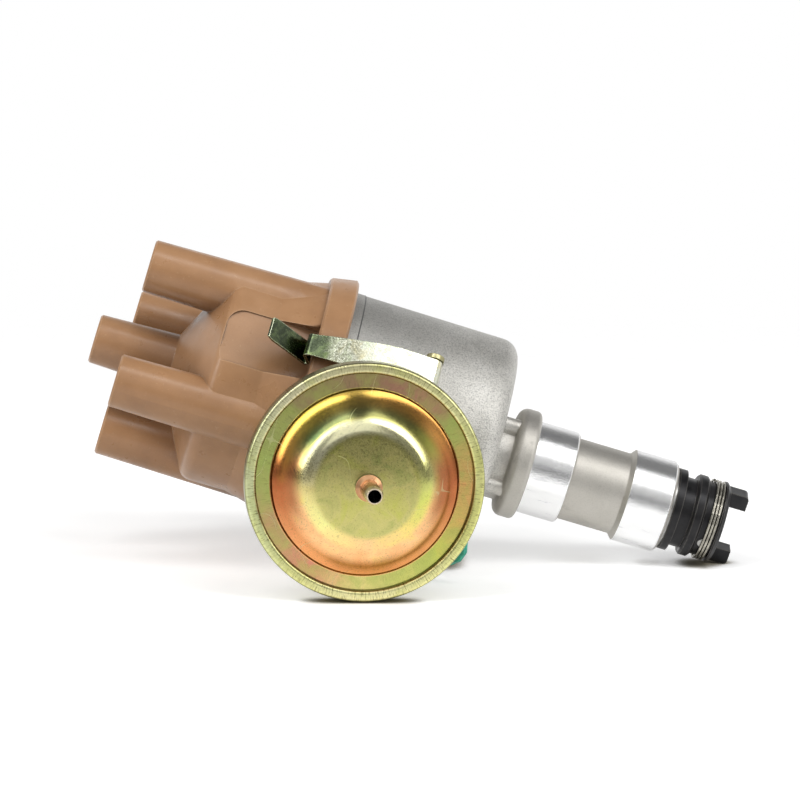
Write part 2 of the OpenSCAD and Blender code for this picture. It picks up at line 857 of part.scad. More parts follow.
module cam_screw() {
    color("silver")
        difference() {
            disc(counterbore_r - free_gap, z_shaft_top, screw_head_h);
            translate([0, 0, z_shaft_top + screw_head_h])
                cube([2 * counterbore_r, spade_t, screw_head_h], center = true);
        }
}

module felt_pad() {
    color("antiquewhite")
        disc(counterbore_r - free_gap, z_shaft_top + screw_head_h, felt_h);
}

module drive_shaft() {
    z_end = z_nose + shaft_recess;
    color("lightgray")
        difference() {
            union() {
                disc(shaft_r, z_end, z_foot - shaft_step_gap - z_end);
                disc(spigot_r, z_foot - cut, z_shaft_top - z_foot + cut);
            }
            rotate([0, 0, coupling_pin_dir])
                translate([-coupling_r, 0, z_pin])
                    rotate([0, 90, 0])
                        cylinder(r = coupling_pin_d / 2, h = coupling_d);
        }
}

module thrust_washer() {
    color("peru")
        ring(thrust_washer_r, bush_in_r, z_floor, thrust_washer_t);
}

module end_shim() {
    color("silver")
        ring(shim_r, shaft_r, z_coupling, shim_t - run_gap);
}

// Driven plate with the two pivot posts of the weights and the two posts of their springs
module weight_plate() {
    color("silver")
        difference() {
            union() {
                translate([0, 0, z_plate])
                    linear_extrude(weight_plate_t) {
                        circle(r = weight_plate_r);
                        for (dir = [0, spring_post_dir])
                            rotate([0, 0, dir])
                                square([2 * weight_pivot_r, 2 * weight_boss_r], center = true);
                        for (turn = [0, 180], dir = [0, spring_post_dir])
                            rotate([0, 0, turn + dir])
                                translate([weight_pivot_r, 0])
                                    circle(r = weight_boss_r);
                    }
                for (turn = [0, 180]) {
                    rotate([0, 0, turn])
                        translate([weight_pivot_r, 0, z_plate])
                            cylinder(r = weight_post_r, h = z_weight + weight_t - z_plate + free_gap);
                    rotate([0, 0, turn + spring_post_dir])
                        translate([spring_post_pitch, 0, z_plate])
                            cylinder(r = spring_post_r, h = z_spring_post - z_plate);
                }
            }
            disc(shaft_r, z_plate - cut, weight_plate_t + 2 * cut);
        }
}

// One advance weight: pivot boss, driving toe with its pin, and the curved mass
module advance_weight() {
    difference() {
        union() {
            translate([0, 0, z_weight])
                linear_extrude(weight_t) {
                    translate([weight_pivot_r, 0])
                        circle(r = weight_boss_r);
                    translate([weight_pivot_r, 0])
                        rotate([0, 0, 180 - half_swing])
                            translate([0, -toe_arm_w / 2])
                                square([toe_arm, toe_arm_w]);
                    translate([toe_x, toe_y])
                        circle(r = toe_boss_r);
                    polygon(concat(
                        arc(0, 0, weight_r, weight_tail_dir, weight_head_dir),
                        arc(0, 0, weight_in_r, weight_head_dir, weight_tail_dir)));
                }
            translate([toe_x, toe_y, z_weight])
                cylinder(r = toe_pin_r, h = z_foot + foot_t - z_weight);
        }
        translate([weight_pivot_r, 0, z_weight - cut])
            cylinder(r = weight_post_r + run_gap, h = weight_t + 2 * cut);
    }
}

module weight_a() {
    color("slategray")
        advance_weight();
}

module weight_b() {
    color("slategray")
        rotate([0, 0, 180])
            advance_weight();
}

// A tension spring: a round eye on the plate's post, a coil, and a slotted eye that lets the foot's post move
module advance_spring() {
    fixed = spring_post_pitch * [cos(spring_post_dir), sin(spring_post_dir)];
    moving = foot_post_r * [cos(foot_half_turn), sin(foot_half_turn)];
    run = moving - fixed;
    eye_r = spring_post_r + spring_eye_gap;
    eye_out_r = eye_r + spring_t;
    coil_start = eye_out_r - spring_t / 2;
    coil_len = norm(run) - 2 * coil_start;
    translate([fixed[0], fixed[1], z_spring])
        rotate([0, 0, atan2(run[1], run[0])]) {
            linear_extrude(spring_t)
                difference() {
                    union() {
                        circle(r = eye_out_r);
                        translate([norm(run), 0])
                            circle(r = eye_out_r);
                        translate([norm(run), -eye_out_r])
                            square([spring_slot_len, 2 * eye_out_r]);
                        translate([norm(run) + spring_slot_len, 0])
                            circle(r = eye_out_r);
                    }
                    circle(r = eye_r);
                    translate([norm(run), 0])
                        circle(r = eye_r);
                    translate([norm(run), -eye_r])
                        square([spring_slot_len, 2 * eye_r]);
                    translate([norm(run) + spring_slot_len, 0])
                        circle(r = eye_r);
                }
            translate([0, 0, spring_t / 2])
                rotate([0, 90, 0])
                    coil(spring_coil_r / 2, spring_coil_r, coil_start, coil_len, 2 * arc_steps);
        }
}

module advance_spring_a() {
    color("silver")
        advance_spring();
}

module advance_spring_b() {
    color("silver")
        rotate([0, 0, 180])
            advance_spring();
}

// Fixed plate on the bowl's three lugs
module base_plate() {
    color("silver")
        difference() {
            disc(in_r - base_edge_gap, z_base, plate_t);
            disc(hub_r + run_gap, z_base - cut, plate_t + 2 * cut);
            for (dir = lug_dirs)
                rotate([0, 0, dir])
                    translate([lug_pitch_r, 0, z_base - cut])
                        cylinder(r = m3_tap_r, h = plate_t + 2 * cut);
        }
}

// A slotted screw whose head stands on z
module screw_up(z, len) {
    difference() {
        union() {
            disc(m3_tap_r, z - len, len);
            disc(m3_head_r, z, m3_head_h);
        }
        translate([0, 0, z + m3_head_h])
            cube([2 * m3_head_r + cut, spade_t, m3_head_h], center = true);
    }
}

module base_plate_screws() {
    color("lightgray")
        for (dir = lug_dirs)
            rotate([0, 0, dir])
                translate([lug_pitch_r, 0, 0])
                    screw_up(z_base + plate_t, m3_len);
}

// Turning plate: a hub in the base plate, three feet, and the pin that the rod pulls
module breaker_plate() {
    color("lightsteelblue")
        difference() {
            union() {
                disc(breaker_r, z_breaker, plate_t);
                disc(hub_r, z_base, z_breaker - z_base + plate_t);
                for (i = [0:2])
                    rotate([0, 0, lug_dirs[i]])
                        translate([breaker_foot_pitch_r, 0, z_breaker - slip_gap + run_gap])
                            cylinder(r = breaker_foot_r, h = slip_gap);
                translate([pin_x, pin_y, z_breaker])
                    cylinder(r = breaker_pin_rad, h = plate_t + breaker_pin_h);
            }
            disc(hub_in_r, z_base - cut, z_set - z_base + 2 * cut);
            contact_frame() {
                translate([0, 0, z_breaker - cut])
                    cylinder(r = post_r, h = plate_t + 2 * cut);
                translate([0, -set_reach - block_w, z_breaker - cut])
                    cylinder(r = m3_tap_r, h = plate_t + 2 * cut);
            }
        }
}

// The contact set's own frame: x points away from the cam, and the origin is on the pivot post
module contact_frame() {
    rotate([0, 0, contact_dir])
        translate([set_r, set_reach, 0])
            children();
}

// Plate and upright of the fixed contact, with its button
module fixed_contact() {
    upright_t = plate_t;
    button_x = arm_face - contact_button_t - contact_gap;
    upright_x = button_x - contact_button_t - upright_t;
    foot_w = 2 * post_r + 2 * plate_t;
    color("silver")
        contact_frame()
            difference() {
                union() {
                    translate([upright_x, button_y - block_w / 2, z_set])
                        cube([foot_w / 2 - upright_x, block_w - button_y + plate_t, plate_t]);
                    translate([upright_x, button_y - block_w / 2, z_set])
                        cube([upright_t, block_w, z_arm + arm_h - z_set]);
                    translate([upright_x + upright_t, button_y, z_arm + arm_h / 2])
                        rotate([0, 90, 0])
                            cylinder(r = contact_face_r, h = contact_button_t);
                }
                translate([0, 0, z_set - cut])
                    cylinder(r = post_r, h = plate_t + 2 * cut);
                translate([0, -set_reach - block_w, z_set - cut])
                    cylinder(r = m3_tap_r, h = plate_t + 2 * cut);
            }
}

module fixed_contact_screw() {
    color("lightgray")
        contact_frame()
            translate([0, -set_reach - block_w, 0])
                difference() {
                    union() {
                        disc(m3_tap_r, z_breaker, 2 * plate_t);
                        disc(m3_head_r - free_gap, z_set + plate_t, spade_t + free_gap);
                    }
                    translate([0, 0, z_set + plate_t + spade_t + free_gap])
                        cube([2 * m3_head_r + cut, spade_t, spade_t], center = true);
                }
}

module contact_pivot_post() {
    color("silver")
        contact_frame()
            disc(post_r, z_breaker, z_arm + arm_h + free_gap - z_breaker);
}

// Moving arm: insulated pivot, channel, rubbing block and button
module contact_arm() {
    color("sienna")
        contact_frame()
            difference() {
                union() {
                    disc(arm_boss_r, z_arm, arm_h);
                    translate([arm_face, button_y - contact_face_r, z_arm])
                        cube([arm_t, contact_face_r - button_y, arm_h]);
                    translate([arm_face - block_len, -set_reach - block_w / 2, z_arm])
                        cube([block_len, block_w, arm_h]);
                    translate([arm_face - contact_button_t, button_y, z_arm + arm_h / 2])
                        rotate([0, 90, 0])
                            cylinder(r = contact_face_r, h = contact_button_t);
                }
                disc(post_r + run_gap, z_arm - cut, arm_h + 2 * cut);
            }
}

// Leaf spring along the back of the arm
module contact_spring() {
    color("silver")
        contact_frame()
            translate([arm_face + arm_t, button_y, z_arm + arm_h / 4])
                cube([clip_t / 2, -button_y - 2 * block_w, arm_h / 2]);
}

// Black coupling: thrust flange, groove, ring, wire groove, nose and two dogs
module drive_coupling() {
    z_rim_edge = z_wire_groove - wire_groove_len;
    dog_foot = z_nose - dog_len;
    color([0.08, 0.08, 0.09])
        difference() {
            union() {
                rotate_extrude()
                    polygon([
                        [0, z_nose], [coupling_r - nose_edge, z_nose], [coupling_r, z_nose + nose_edge],
                        [coupling_r, z_rim_edge], [wire_groove_r, z_rim_edge], [wire_groove_r, z_wire_groove],
                        [coupling_r - mid_edge, z_wire_groove], [coupling_r, z_wire_groove + mid_edge],
                        [coupling_r, z_mid_ring - mid_edge],
                        [coupling_r - mid_edge, z_mid_ring], [groove_r, z_mid_ring],
                        [groove_r, z_coupling - flange_len], [coupling_r, z_coupling - flange_len],
                        [coupling_r, z_coupling], [0, z_coupling]]);
                for (turn = [0, 180])
                    rotate([90, 0, dog_dir + turn])
                        translate([0, 0, -dog_w / 2])
                            linear_extrude(dog_w)
                                polygon(concat(
                                    [[dog_in, z_nose + nose_edge], [dog_in, dog_foot]],
                                    arc(dog_out - dog_edge, dog_foot + dog_edge, dog_edge, -90, 0),
                                    [[dog_out, z_nose + nose_edge]]));
            }
            disc(shaft_r, z_nose - cut, coupling_len + 2 * cut);
            rotate([0, 0, coupling_pin_dir])
                translate([-coupling_r - cut, 0, z_pin])
                    rotate([0, 90, 0])
                        cylinder(r = coupling_pin_d / 2, h = coupling_d + 2 * cut);
        }
}

module coupling_pin() {
    reach = wire_groove_r + pin_lift;
    color("white")
        rotate([0, 0, coupling_pin_dir])
            translate([-reach, 0, z_pin])
                rotate([0, 90, 0])
                    cylinder(r = coupling_pin_d / 2, h = 2 * reach);
}

// Three turns of wire in the coupling's groove, over the pin's ends
module coupling_spring_ring() {
    steps = wire_turns * steps_per_turn;
    color("silver")
        tube([for (i = [0:steps])
                let (a = 360 * i / steps_per_turn)
                [ring_r * cos(a), ring_r * sin(a), z_wire_start - wire_pitch * i / steps_per_turn]],
            ring_wire_d / 2, [0, 0, 1], wire_sides);
}

// The capsule's own frame: z runs out along its axis, and equals the distance from the shaft at the pad
module capsule_frame() {
    translate([vac_x, -pad_reach, vac_z])
        rotate([90 + vac_tilt, 0, 0])
            translate([0, 0, -pad_reach])
                children();
}

// Rear shell: neck, coned back, pan, flange and the rim rolled over the front dome's ring
module vacuum_rear_shell() {
    lip_r = rim_r - lip_w;
    rim_edge = lip_w / 3;
    color([0.72, 0.7, 0.45])
        capsule_frame()
            rotate_extrude()
                polygon(concat(
                    [[shell_neck_r - sheet_t, s_neck], [shell_neck_r, s_neck], [shell_neck_r, s_cone_foot],
                     [pan_r, s_cone_top], [pan_r + sheet_t / 2, s_flange - sheet_t]],
                    arc(rim_r - rim_edge, s_flange - sheet_t + rim_edge, rim_edge, -90, 0),
                    arc(rim_r - rim_edge, rim_front - rim_edge, rim_edge, 0, 90),
                    arc(lip_r + rim_edge, rim_front - rim_edge, rim_edge, 90, 180),
                    [[lip_r, s_ring], [pocket_r, s_ring], [pocket_r, s_flange],
                     [pan_r - sheet_t / 2, s_flange], [pan_r - sheet_t, s_cone_top + sheet_t / 2],
                     [shell_neck_r - sheet_t, s_cone_foot + sheet_t]]));
}

// Height over its foot, at radius r, of a cap cut from a ball; a is the cap's radius and h its height
function dome_height(r, a, h) = let (ball = (a * a + h * h) / (2 * h)) sqrt(ball * ball - r * r) - ball + h;

// Front dome: flat ring under the rolled lip, a raised bead and the dome
module vacuum_front_dome() {
    color([0.75, 0.68, 0.35])
        capsule_frame()
            rotate_extrude()
                polygon(concat(
                    [[sheet_r, s_dome], [sheet_r, s_ring], [dome_r, s_ring]],
                    [for (i = [1:dome_steps])
                        let (r = dome_r * cos(90 * i / dome_steps))
                        if (r > nipple_stem_r) [r, s_ring + dome_height(r, dome_r, dome_h)]],
                    [[nipple_stem_r, s_ring + dome_h], [nipple_stem_r, s_dome + dome_h]],
                    [for (i = [dome_steps - 1:-1:1])
                        let (r = inner_dome_r * cos(90 * i / dome_steps))
                        if (r > nipple_stem_r) [r, s_dome + dome_height(r, inner_dome_r, dome_h)]],
                    [[inner_dome_r, s_dome]]));
}

// Hose nipple with a flared foot on the dome and a barb at its end
module vacuum_nipple() {
    s_top = s_ring + dome_h;
    s_end = s_top + nipple_len;
    color([0.8, 0.6, 0.4])
        capsule_frame()
            rotate_extrude()
                polygon([
                    [nipple_bore_r, s_top - dome_sheet_t], [nipple_stem_r, s_top - dome_sheet_t],
                    [nipple_stem_r, s_top], [nipple_foot_r, s_top],
                    [nipple_foot_r, s_top + nipple_foot_h / 2],
                    [nipple_d / 2, s_top + nipple_foot_h], [nipple_d / 2, s_end - barb_len / 2],
                    [nipple_stem_r, s_end], [nipple_bore_r, s_end]]);
}

// Convoluted rubber ring, clamped between the shells
module diaphragm() {
    convolution_r = (pan_r - sheet_t - piston_r - free_gap) / 2;
    mid_r = piston_r + free_gap + convolution_r;
    color("black")
        capsule_frame()
            rotate_extrude()
                polygon(concat(
                    [[sheet_r, s_dome], [sheet_r, s_diaphragm], [mid_r + convolution_r, s_diaphragm]],
                    arc(mid_r, s_diaphragm, convolution_r - diaphragm_t, 360, 180),
                    [[piston_r + free_gap, s_diaphragm], [piston_r + free_gap, s_dome]],
                    arc(mid_r, s_dome, convolution_r - 2 * diaphragm_t, 180, 360)));
}

module diaphragm_piston() {
    color("silver")
        capsule_frame() {
            disc(piston_r, s_piston, piston_t);
            disc(piston_boss_r, s_piston - piston_boss_h, piston_boss_h);
        }
}

module vacuum_return_spring() {
    s_foot = s_piston + piston_t;
    s_seat = s_dome + dome_height(return_spring_r + return_wire_d / 2, inner_dome_r, dome_h) - 2 * run_gap;
    color("silver")
        capsule_frame()
            coil(return_spring_r, return_wire_d, s_foot, s_seat - s_foot, return_turns);
}

// Flat rod from the piston, through the bowl's wall and round to the breaker plate's pin
module pull_rod() {
    rod_end = -(s_piston - piston_boss_h);
    bends = [[vac_x, rod_end], [vac_x, rod_bend_y], [pin_x, rod_run_y], [pin_x, pin_y]];
    color("silver")
        translate([0, 0, vac_z - rod_t / 2])
            linear_extrude(rod_t)
                difference() {
                    union() {
                        polygon(ribbon(bends, rod_w));
                        translate([pin_x, pin_y])
                            circle(r = rod_eye_r);
                    }
                    translate([pin_x, pin_y])
                        circle(r = breaker_pin_rad + rod_eye_gap);
                }
}

// Flat bracket that carries the capsule on the bowl's pad
module vacuum_bracket() {
    color([0.7, 0.68, 0.5])
        capsule_frame()
            translate([0, 0, pad_reach])
                linear_extrude(bracket_t)
                    difference() {
                        polygon(round_rect(pad_w, pad_h, bracket_edge));
                        circle(r = shell_neck_r - sheet_t);
                        for (side = [-1, 1])
                            translate([side * vac_screw_x, -vac_screw_drop])
                                circle(r = m3_tap_r);
                    }
}

module vacuum_screws() {
    color("lightgray")
        capsule_frame()
            for (side = [-1, 1])
                translate([side * vac_screw_x, -vac_screw_drop, 0])
                    screw_up(pad_reach + bracket_t, m3_len);
}

// The clip's centre line: up from its eye, over the band, in to the fold and out along the tab
function clip_path() =
    let (root = clip_pin_rho + clip_eye_r - clip_t / 2,
         hook = arc(hook_rho, z_fold - free_gap, hook_bend_r, 10, 100),
         tab = [cos(tab_angle), sin(tab_angle)],
         tab_root = [fold_rho, z_fold] + fold_bend_r * left(tab))
    concat(
        [for (i = [0:bow_steps - 1])
            let (t = i / bow_steps)
            [root * (1 - t) + hook[0][0] * t + bow * sin(180 * t), z_clip_pin * (1 - t) + hook[0][1] * t]],
        hook,
        arc(fold_rho, z_fold, fold_bend_r, -80, -270 + tab_angle),
        [tab_root + tab_len * tab]);

// A spring clip: rolled eye, bowed strip, hook and finger tab, narrower towards the hook
module spring_clip() {
    tab_top = z_fold + tab_len;
    half_hook = clip_hook_w / 2;
    half_root = clip_root_w / 2;
    difference() {
        union() {
            intersection() {
                rotate([90, 0, 0])
                    translate([0, 0, -clip_root_w])
                        linear_extrude(2 * clip_root_w)
                            polygon(ribbon(clip_path(), clip_t));
                rotate([90, 0, 90])
                    linear_extrude(2 * band_r)
                        polygon([
                            [-half_root, z_clip_pin], [half_root, z_clip_pin],
                            [half_root, z_clip_pin + clip_root_w], [half_hook, z_band],
                            [half_hook, tab_top - 3 * tab_edge], [half_hook - tab_edge, tab_top],
                            [tab_edge - half_hook, tab_top], [-half_hook, tab_top - 3 * tab_edge],
                            [-half_hook, z_band], [-half_root, z_clip_pin + clip_root_w]]);
            }
            translate([clip_pin_rho, -clip_root_w / 2, z_clip_pin])
                rotate([-90, 0, 0])
                    cylinder(r = clip_eye_r, h = clip_root_w);
        }
        translate([clip_pin_rho, -clip_root_w, z_clip_pin])
            rotate([-90, 0, 0])
                cylinder(r = clip_pin_r + run_gap, h = 2 * clip_root_w);
    }
}

// A riveted bracket with two ears for the clip's pin
module clip_bracket() {
    ear_y = clip_root_w / 2 + ear_gap;
    base_h = clip_pad_h - 2 * ear_gap;
    z_base_foot = z_rim - clip_pad_drop + ear_gap;
    difference() {
        union() {
            translate([clip_pad_r, -ear_y - ear_t, z_base_foot])
                cube([clip_bracket_t, 2 * ear_y + 2 * ear_t, base_h]);
            for (side = [-1, 1])
                translate([clip_pad_r, side * (ear_y + ear_t / 2) - ear_t / 2, z_clip_pin])
                    rotate([-90, 0, 0])
                        linear_extrude(ear_t) {
                            translate([0, -ear_reach])
                                square([clip_pin_rho - clip_pad_r, 2 * ear_reach]);
                            translate([clip_pin_rho - clip_pad_r, 0])
                                circle(r = ear_reach);
                        }
        }
        translate([clip_pin_rho, -clip_pad_w, z_clip_pin])
            rotate([-90, 0, 0])
                cylinder(r = clip_pin_r, h = 2 * clip_pad_w);
        translate([clip_pad_r - cut, 0, z_rim - rivet_drop])
            rotate([0, 90, 0])
                cylinder(r = rivet_r, h = clip_bracket_t + 2 * cut);
    }
}

module clip_pin() {
    half = clip_root_w / 2 + ear_gap + ear_t;
    translate([clip_pin_rho, -half, z_clip_pin])
        rotate([-90, 0, 0])
            cylinder(r = clip_pin_r, h = 2 * half);
}

module front_clip() {
    color("lightgray")
        rotate([0, 0, clip_dir])
            spring_clip();
}

module front_clip_bracket() {
    color([0.75, 0.74, 0.6])
        rotate([0, 0, clip_dir])
            clip_bracket();
}

module front_clip_pin() {
    color("silver")
        rotate([0, 0, clip_dir])
            clip_pin();
}

module rear_clip() {
    color("lightgray")
        rotate([0, 0, clip_dir + 180])
            spring_clip();
}

module rear_clip_bracket() {
    color([0.75, 0.74, 0.6])
        rotate([0, 0, clip_dir + 180])
            clip_bracket();
}

module rear_clip_pin() {
    color("silver")
        rotate([0, 0, clip_dir + 180])
            clip_pin();
}

module clip_rivets() {
    z = z_rim - rivet_drop;
    head_rho = clip_pad_r + clip_bracket_t;
    color("silver")
        for (side = [0, 180]) {
            radial_pin(clip_dir + side, in_r, z, rivet_r, head_rho - in_r);
            radial_pin(clip_dir + side, head_rho, z, rivet_head_r, rivet_head_h);
        }
}

// The condenser's own frame: its axis is parallel to the shaft
module condenser_frame() {
    rotate([0, 0, condenser_dir])
        translate([condenser_rho, 0, z_condenser])
            children();
}

module condenser_can() {
    color("lightgray")
        condenser_frame() {
            cylinder(r = condenser_r, h = condenser_len);
            disc(lead_d, -lead_d / 2, lead_d / 2);
        }
}

// Band round the can and a tab screwed to the bowl's pad
module condenser_strap() {
    tab_h = strap_tab_over + condenser_len / 2 + strap_h / 2;
    color("silver") {
        condenser_frame()
            ring(condenser_r + strap_t, condenser_r, (condenser_len - strap_h) / 2, strap_h);
        difference() {
            plaque(condenser_dir, side_pad_r, strap_t)
                polygon(round_rect(strap_tab_w, tab_h, strap_t, 0,
                    z_condenser + (condenser_len - strap_h) / 2 + tab_h / 2));
            radial_pin(condenser_dir, side_pad_r - cut, z_condenser + condenser_len + strap_tab_over / 2,
                m3_tap_r, strap_t + 2 * cut);
        }
    }
}

module condenser_screw() {
    color("lightgray")
        rotate([0, 0, condenser_dir])
            translate([0, 0, z_condenser + condenser_len + strap_tab_over / 2])
                rotate([0, 90, 0])
                    screw_up(side_pad_r + strap_t, side_pad_r + strap_t - in_r);
}

module condenser_lead() {
    color([0.2, 0.65, 0.6])
        tube(lead_route, lead_d / 2, [0.5, 0.86, 0.1], wire_sides);
}

// Insulating block in a square hole of the bowl's wall
module terminal_block() {
    color("dimgray") {
        difference() {
            spoke(block_dir, block_reach, block_width, block_h, z_block);
            disc(block_seat_r, z_block - block_width, 2 * block_width);
        }
        plug_in = in_r - block_plug_in;
        rotate([0, 0, block_dir])
            translate([plug_in, (free_gap - block_hole_w) / 2, z_block + (free_gap - block_hole_w) / 2])
                cube([block_seat_r + cut - plug_in, block_hole_w - free_gap, block_hole_w - free_gap]);
    }
}

// Blade on the block's outer face for the ignition coil's lead
module spade_terminal() {
    color("gold") {
        rotate([0, 0, block_dir])
            translate([block_reach, -spade_w / 2, z_block - block_h / 2 - spade_len / 2])
                cube([spade_t, spade_w, block_h + spade_len / 2]);
        radial_pin(block_dir, block_reach + spade_t, z_block, stud_r, 2 * stud_r);
    }
}

housing();
upper_bush();
lower_bush();
distributor_cap();
cap_side_terminals();
cap_centre_terminal();
carbon_brush();
brush_spring();
rotor_body();
rotor_electrode();
cam_sleeve();
cam_screw();
felt_pad();
drive_shaft();
thrust_washer();
end_shim();
weight_plate();
weight_a();
weight_b();
advance_spring_a();
advance_spring_b();
base_plate();
base_plate_screws();
breaker_plate();
fixed_contact();
fixed_contact_screw();
contact_pivot_post();
contact_arm();
contact_spring();
drive_coupling();
coupling_pin();
coupling_spring_ring();
vacuum_rear_shell();
vacuum_front_dome();
vacuum_nipple();
diaphragm();
diaphragm_piston();
vacuum_return_spring();
pull_rod();
vacuum_bracket();
vacuum_screws();
front_clip();
front_clip_bracket();
front_clip_pin();
rear_clip();
rear_clip_bracket();
rear_clip_pin();
clip_rivets();
condenser_can();
condenser_strap();
condenser_screw();
condenser_lead();
terminal_block();
spade_terminal();
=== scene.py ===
import math

import bpy
from mathutils import Matrix, Vector


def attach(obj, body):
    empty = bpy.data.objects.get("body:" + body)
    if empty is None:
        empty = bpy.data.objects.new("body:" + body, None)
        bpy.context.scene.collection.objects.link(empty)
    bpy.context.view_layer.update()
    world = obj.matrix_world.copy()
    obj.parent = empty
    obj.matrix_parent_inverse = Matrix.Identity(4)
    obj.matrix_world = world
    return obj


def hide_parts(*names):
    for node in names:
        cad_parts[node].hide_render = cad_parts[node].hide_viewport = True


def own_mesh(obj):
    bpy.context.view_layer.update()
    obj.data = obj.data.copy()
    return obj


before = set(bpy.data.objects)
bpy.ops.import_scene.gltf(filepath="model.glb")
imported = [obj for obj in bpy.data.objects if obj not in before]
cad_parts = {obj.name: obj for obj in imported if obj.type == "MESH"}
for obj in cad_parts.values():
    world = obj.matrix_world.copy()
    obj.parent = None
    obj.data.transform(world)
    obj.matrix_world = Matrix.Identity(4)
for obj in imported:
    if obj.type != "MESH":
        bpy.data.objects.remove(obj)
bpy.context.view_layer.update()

# Lengths are metres in the part's frame: +Z up the shaft, -Y out along the capsule
MM = 0.001

# The camera, fitted to the shaft, the cap's towers and the capsule in the photograph
IMAGE_PX = 800
SENSOR = 36
CAM_DIR = Vector((0.0835, -0.9944, 0.0645)).normalized()
CAM_ROLL = math.radians(16.5)
CAM_TARGET = Vector((7.9, -0.4, 40.7)) * MM
CAM_FOCAL_PX = 4000.0
CAM_DISTANCE = 1149.4 * MM
CAM_CLIP = (0.05, 20)

# The table: the bowl, the capsule and the coupling lie on it. It fades out beyond the fade's two distances.
UP = Vector((0.9608, -0.0691, 0.2683)).normalized()
FLOOR_LEVEL = -27.61 * MM
FLOOR_HALF = 3
FLOOR_FADE = (0.16, 0.5)
FLOOR_GLOW = 0.45

# The shank's two machined lands, and the dark line under the bowl's rim band
LAND_RADIUS = 13.2 * MM
LOWER_LAND_TOP = -29.1 * MM
UPPER_LAND = (-12.15 * MM, 0.05 * MM)
RIM_LINE = 58.7 * MM

# The capsule's own frame, with its reaches from the shaft and its radii
CAPSULE_AT = Vector((-11.6, -38.0, 48.6)) * MM
TILT = math.radians(4)
CAPSULE_X = Vector((1, 0, 0))
CAPSULE_Y = Vector((0, -math.sin(TILT), math.cos(TILT)))
CAPSULE_Z = Vector((0, -math.cos(TILT), -math.sin(TILT)))
PAD_REACH = 38.0 * MM
SPRING_REACH = 57.12 * MM
NIPPLE_TIP = (82 * MM, 84 * MM)
NIPPLE_BORE = 1.8 * MM
RING_INNER = 26.0 * MM
LIP_INNER = 29.9 * MM
RIM_OUTER = 33.0 * MM
SIX_O_CLOCK = 163.5 / 360

# The return spring's length at rest, and the steps in each turn of a coil
SPRING_LENGTH = 10.0 * MM
COIL_STEPS = 26

WORLD_LIGHT = 0.34
ROOM_DARK = 0.78
LAMP_POWER = 7.6
LAMP_AIM = Vector((0, 0, 0.04))


def srgb(*levels):
    """A colour from 0 to 255 as linear values."""
    linear = [c / 255 / 12.92 if c <= 10 else ((c / 255 + 0.055) / 1.055) ** 2.4 for c in levels]
    return (*linear, 1)


